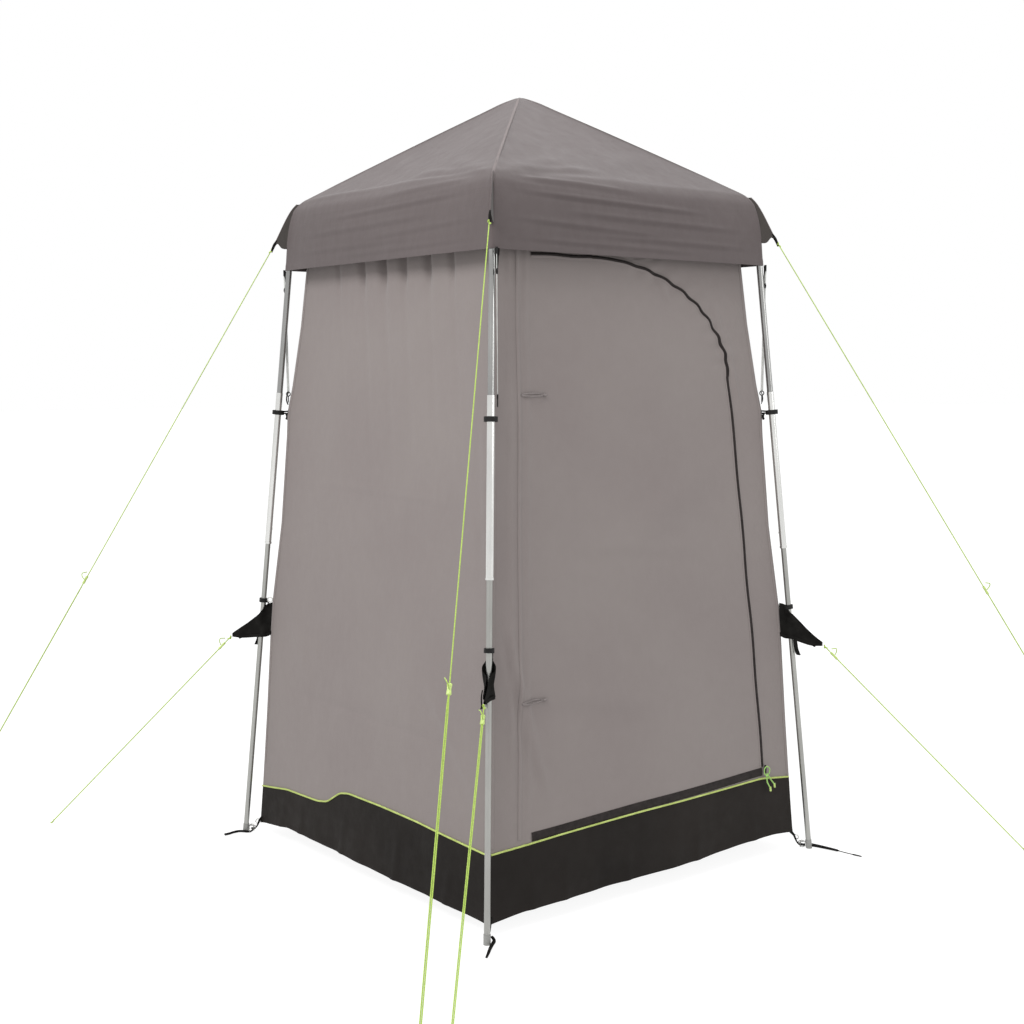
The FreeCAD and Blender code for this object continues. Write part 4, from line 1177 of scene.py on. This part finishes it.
def build_tie(corner):
    """The pale elastic from the canopy's corner down to its hook."""
    side = TIE_SIGN[corner] * 0.014
    top = (leg_reach(1.735) + 0.017, side, 1.737)
    bottom = (leg_reach(1.384) - 0.023, side, 1.382)
    bead = leg_reach(1.69) + 0.011
    line = [top, (bead, side, 1.690), tuple((np.array(top) + np.array(bottom)) / 2), bottom]
    strap = corner_strap("canopy_tie_" + corner, line, 0.0072, 0.0016, (1, 0, 0), corner, ELASTIC)
    line = [(top[0] - 0.003, side, 1.7495), (top[0] - 0.002, side, 1.738), (top[0] - 0.004, side, 1.715),
            (bead, side, 1.690)]
    band = corner_strap("canopy_tie_top_" + corner, line, 0.014, 0.0045, (0, 1, 0), corner, WEBBING,
                        [(0, 1.0), (0.22, 1.0), (0.27, 0.72), (1, 0.30)])
    line = [(bead, side, 1.699), (bead, side, 1.692), (bead, side, 1.685)]
    bead_piece = corner_strap("canopy_tie_bead_" + corner, line, 0.0105, 0.006, (1, 0, 0), corner, BLACK,
                              [(0, 0.7), (0.5, 1), (1, 0.7)])
    for piece in (strap, band, bead_piece):
        fit(piece, "leg_" + corner)


def build_eave_strap(corner):
    """The black strap from the leg's top to the cabin's corner, just under the valance."""
    z = 1.758
    line = [(cabin_corner(z) - 0.004, 0, z), (0.5 * (cabin_corner(z) + leg_reach(z)), 0, z + 0.002),
            (leg_reach(z) - 0.010, 0, z)]
    strap = corner_strap("eave_strap_" + corner, line, 0.020, 0.0030, (0, 1, 0), corner, WEBBING)
    fit(strap, "leg_" + corner)


def build_foot_straps(corner):
    """The strap from the skirt's corner to the ring on the foot's pin, and the peg loop on the ground."""
    ring = leg_reach(0.02) - 0.023
    start = cabin_corner(0.042) - 0.003
    line = [(start - 0.004, 0, 0.050), (start + 0.006, 0, 0.040), ((start + ring) / 2, 0, 0.022),
            (ring - 0.0075, 0, 0.0125)]
    pieces = [corner_strap("foot_strap", line, 0.012, 0.0060, (0, 1, 0), corner, WEBBING,
                           [(0, 1.3), (0.5, 1.0), (1, 0.6)])]
    end = turned([(*PEG_ENDS[corner], 0)], -CORNERS[corner])[0]
    web = [(ring - 0.001, 0.0085, 0.0095), (ring + 0.002, 0.014, 0.004), (ring + 0.012, 0.0165, 0.0022)]
    bend = np.array([0.890, 0.014, 0.0022])
    far = np.array([end[0], end[1], 0.0024])
    web += [tuple(bend), tuple(bend * 0.6 + far * 0.4 + np.array([0, 0, 0.0012])),
            tuple(bend * 0.3 + far * 0.7), tuple(far)]
    web = [(x, y, z + 0.0022) for x, y, z in web]
    pieces.append(corner_strap("peg_web", web, 0.0100, 0.0058, (0, 1, 0), corner, WEBBING, PEG_TAPER[corner]))
    fit(join("foot_webbing_" + corner, pieces), "leg_" + corner)
    for name, place, radius, normal in (("strap_ring_", (start + 0.014, 0, 0.034), 0.0065, (0.4, 1, 0.3)),
                                        ("pin_ring_", (ring + 0.004, 0, 0.0135), 0.0100, (0.2, 1, 0.15))):
        piece = ring_piece(name + corner, place, radius, 0.0016, normal, corner, STEEL, 1.15)
        fit(piece, "leg_" + corner)


def build_corners():
    for corner in CORNERS:
        build_flap(corner)
        build_mid_tab(corner)
        build_clip_strap(corner)
        build_tie(corner)
        build_foot_straps(corner)
        build_eave_strap(corner)


# Carried-over CAD nodes

def paint_nodes():
    kinds = (("roof_hub", BLACK), ("hub_crown", BLACK), ("hub_pins", STEEL), ("roof_arm_", UPPER_TUBE),
             ("knuckle_", BLACK), ("upper_leg_", UPPER_TUBE), ("leg_sleeve_", SLEEVE_TUBE),
             ("lower_leg_", LOWER_TUBE), ("foot_", FOOT_GREY), ("lock_button_", STEEL),
             ("corner_clips_", BLACK))
    for node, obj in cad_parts.items():
        for start, material in kinds:
            if node.startswith(start):
                obj.data.materials.clear()
                obj.data.materials.append(material)
                break


# Stage

def build_stage():
    surface = Surface("pale_floor")
    colour = surface.ramp(surface.noise(1.5, 2.0), (0.15, 0.15, 0.15), (0.17, 0.17, 0.17))
    floor = surface.finish({"Base Color": colour}, {"Roughness": 0.9, "Emission Color": (1, 1, 1, 1),
                                                    "Emission Strength": 0.90})
    size = 60.0
    plane = mesh_object("floor", [(-size, -size, 0), (size, -size, 0), (size, size, 0), (-size, size, 0)],
                        [(0, 1, 2, 3)], floor)
    bpy.context.scene.view_settings.view_transform = "Standard"
    world = bpy.data.worlds.new("studio")
    bpy.context.scene.world = world
    world.use_nodes = True
    background = world.node_tree.nodes["Background"]
    background.inputs["Color"].default_value = (1, 1, 1, 1)
    background.inputs["Strength"].default_value = 1.0
    for name, place, size, power in (("key", (-4.2, -1.4, 5.0), 2.2, 210.0),
                                     ("fill", (2.5, -5.5, 3.0), 2.5, 60.0),
                                     ("top", (0.5, 0.5, 6.0), 3.0, 105.0)):
        data = bpy.data.lights.new(name, "AREA")
        data.size = size
        data.energy = power
        light = bpy.data.objects.new(name, data)
        light.location = place
        light.rotation_euler = (Vector((0, 0, 1.0)) - Vector(place)).to_track_quat("-Z", "Y").to_euler()
        bpy.context.scene.collection.objects.link(light)


make_camera()
build_guys()
build_canopy()
build_ridge_seams()
build_door_wall()
for wall_face in ("right", "back", "left"):
    build_plain_wall(wall_face)
for wall_face in FACES:
    build_skirt(wall_face)
    build_piping(wall_face)
build_zip()
build_corner_seams()
build_slider()
build_toggles()
build_buttons()
build_corners()
paint_nodes()
build_stage()
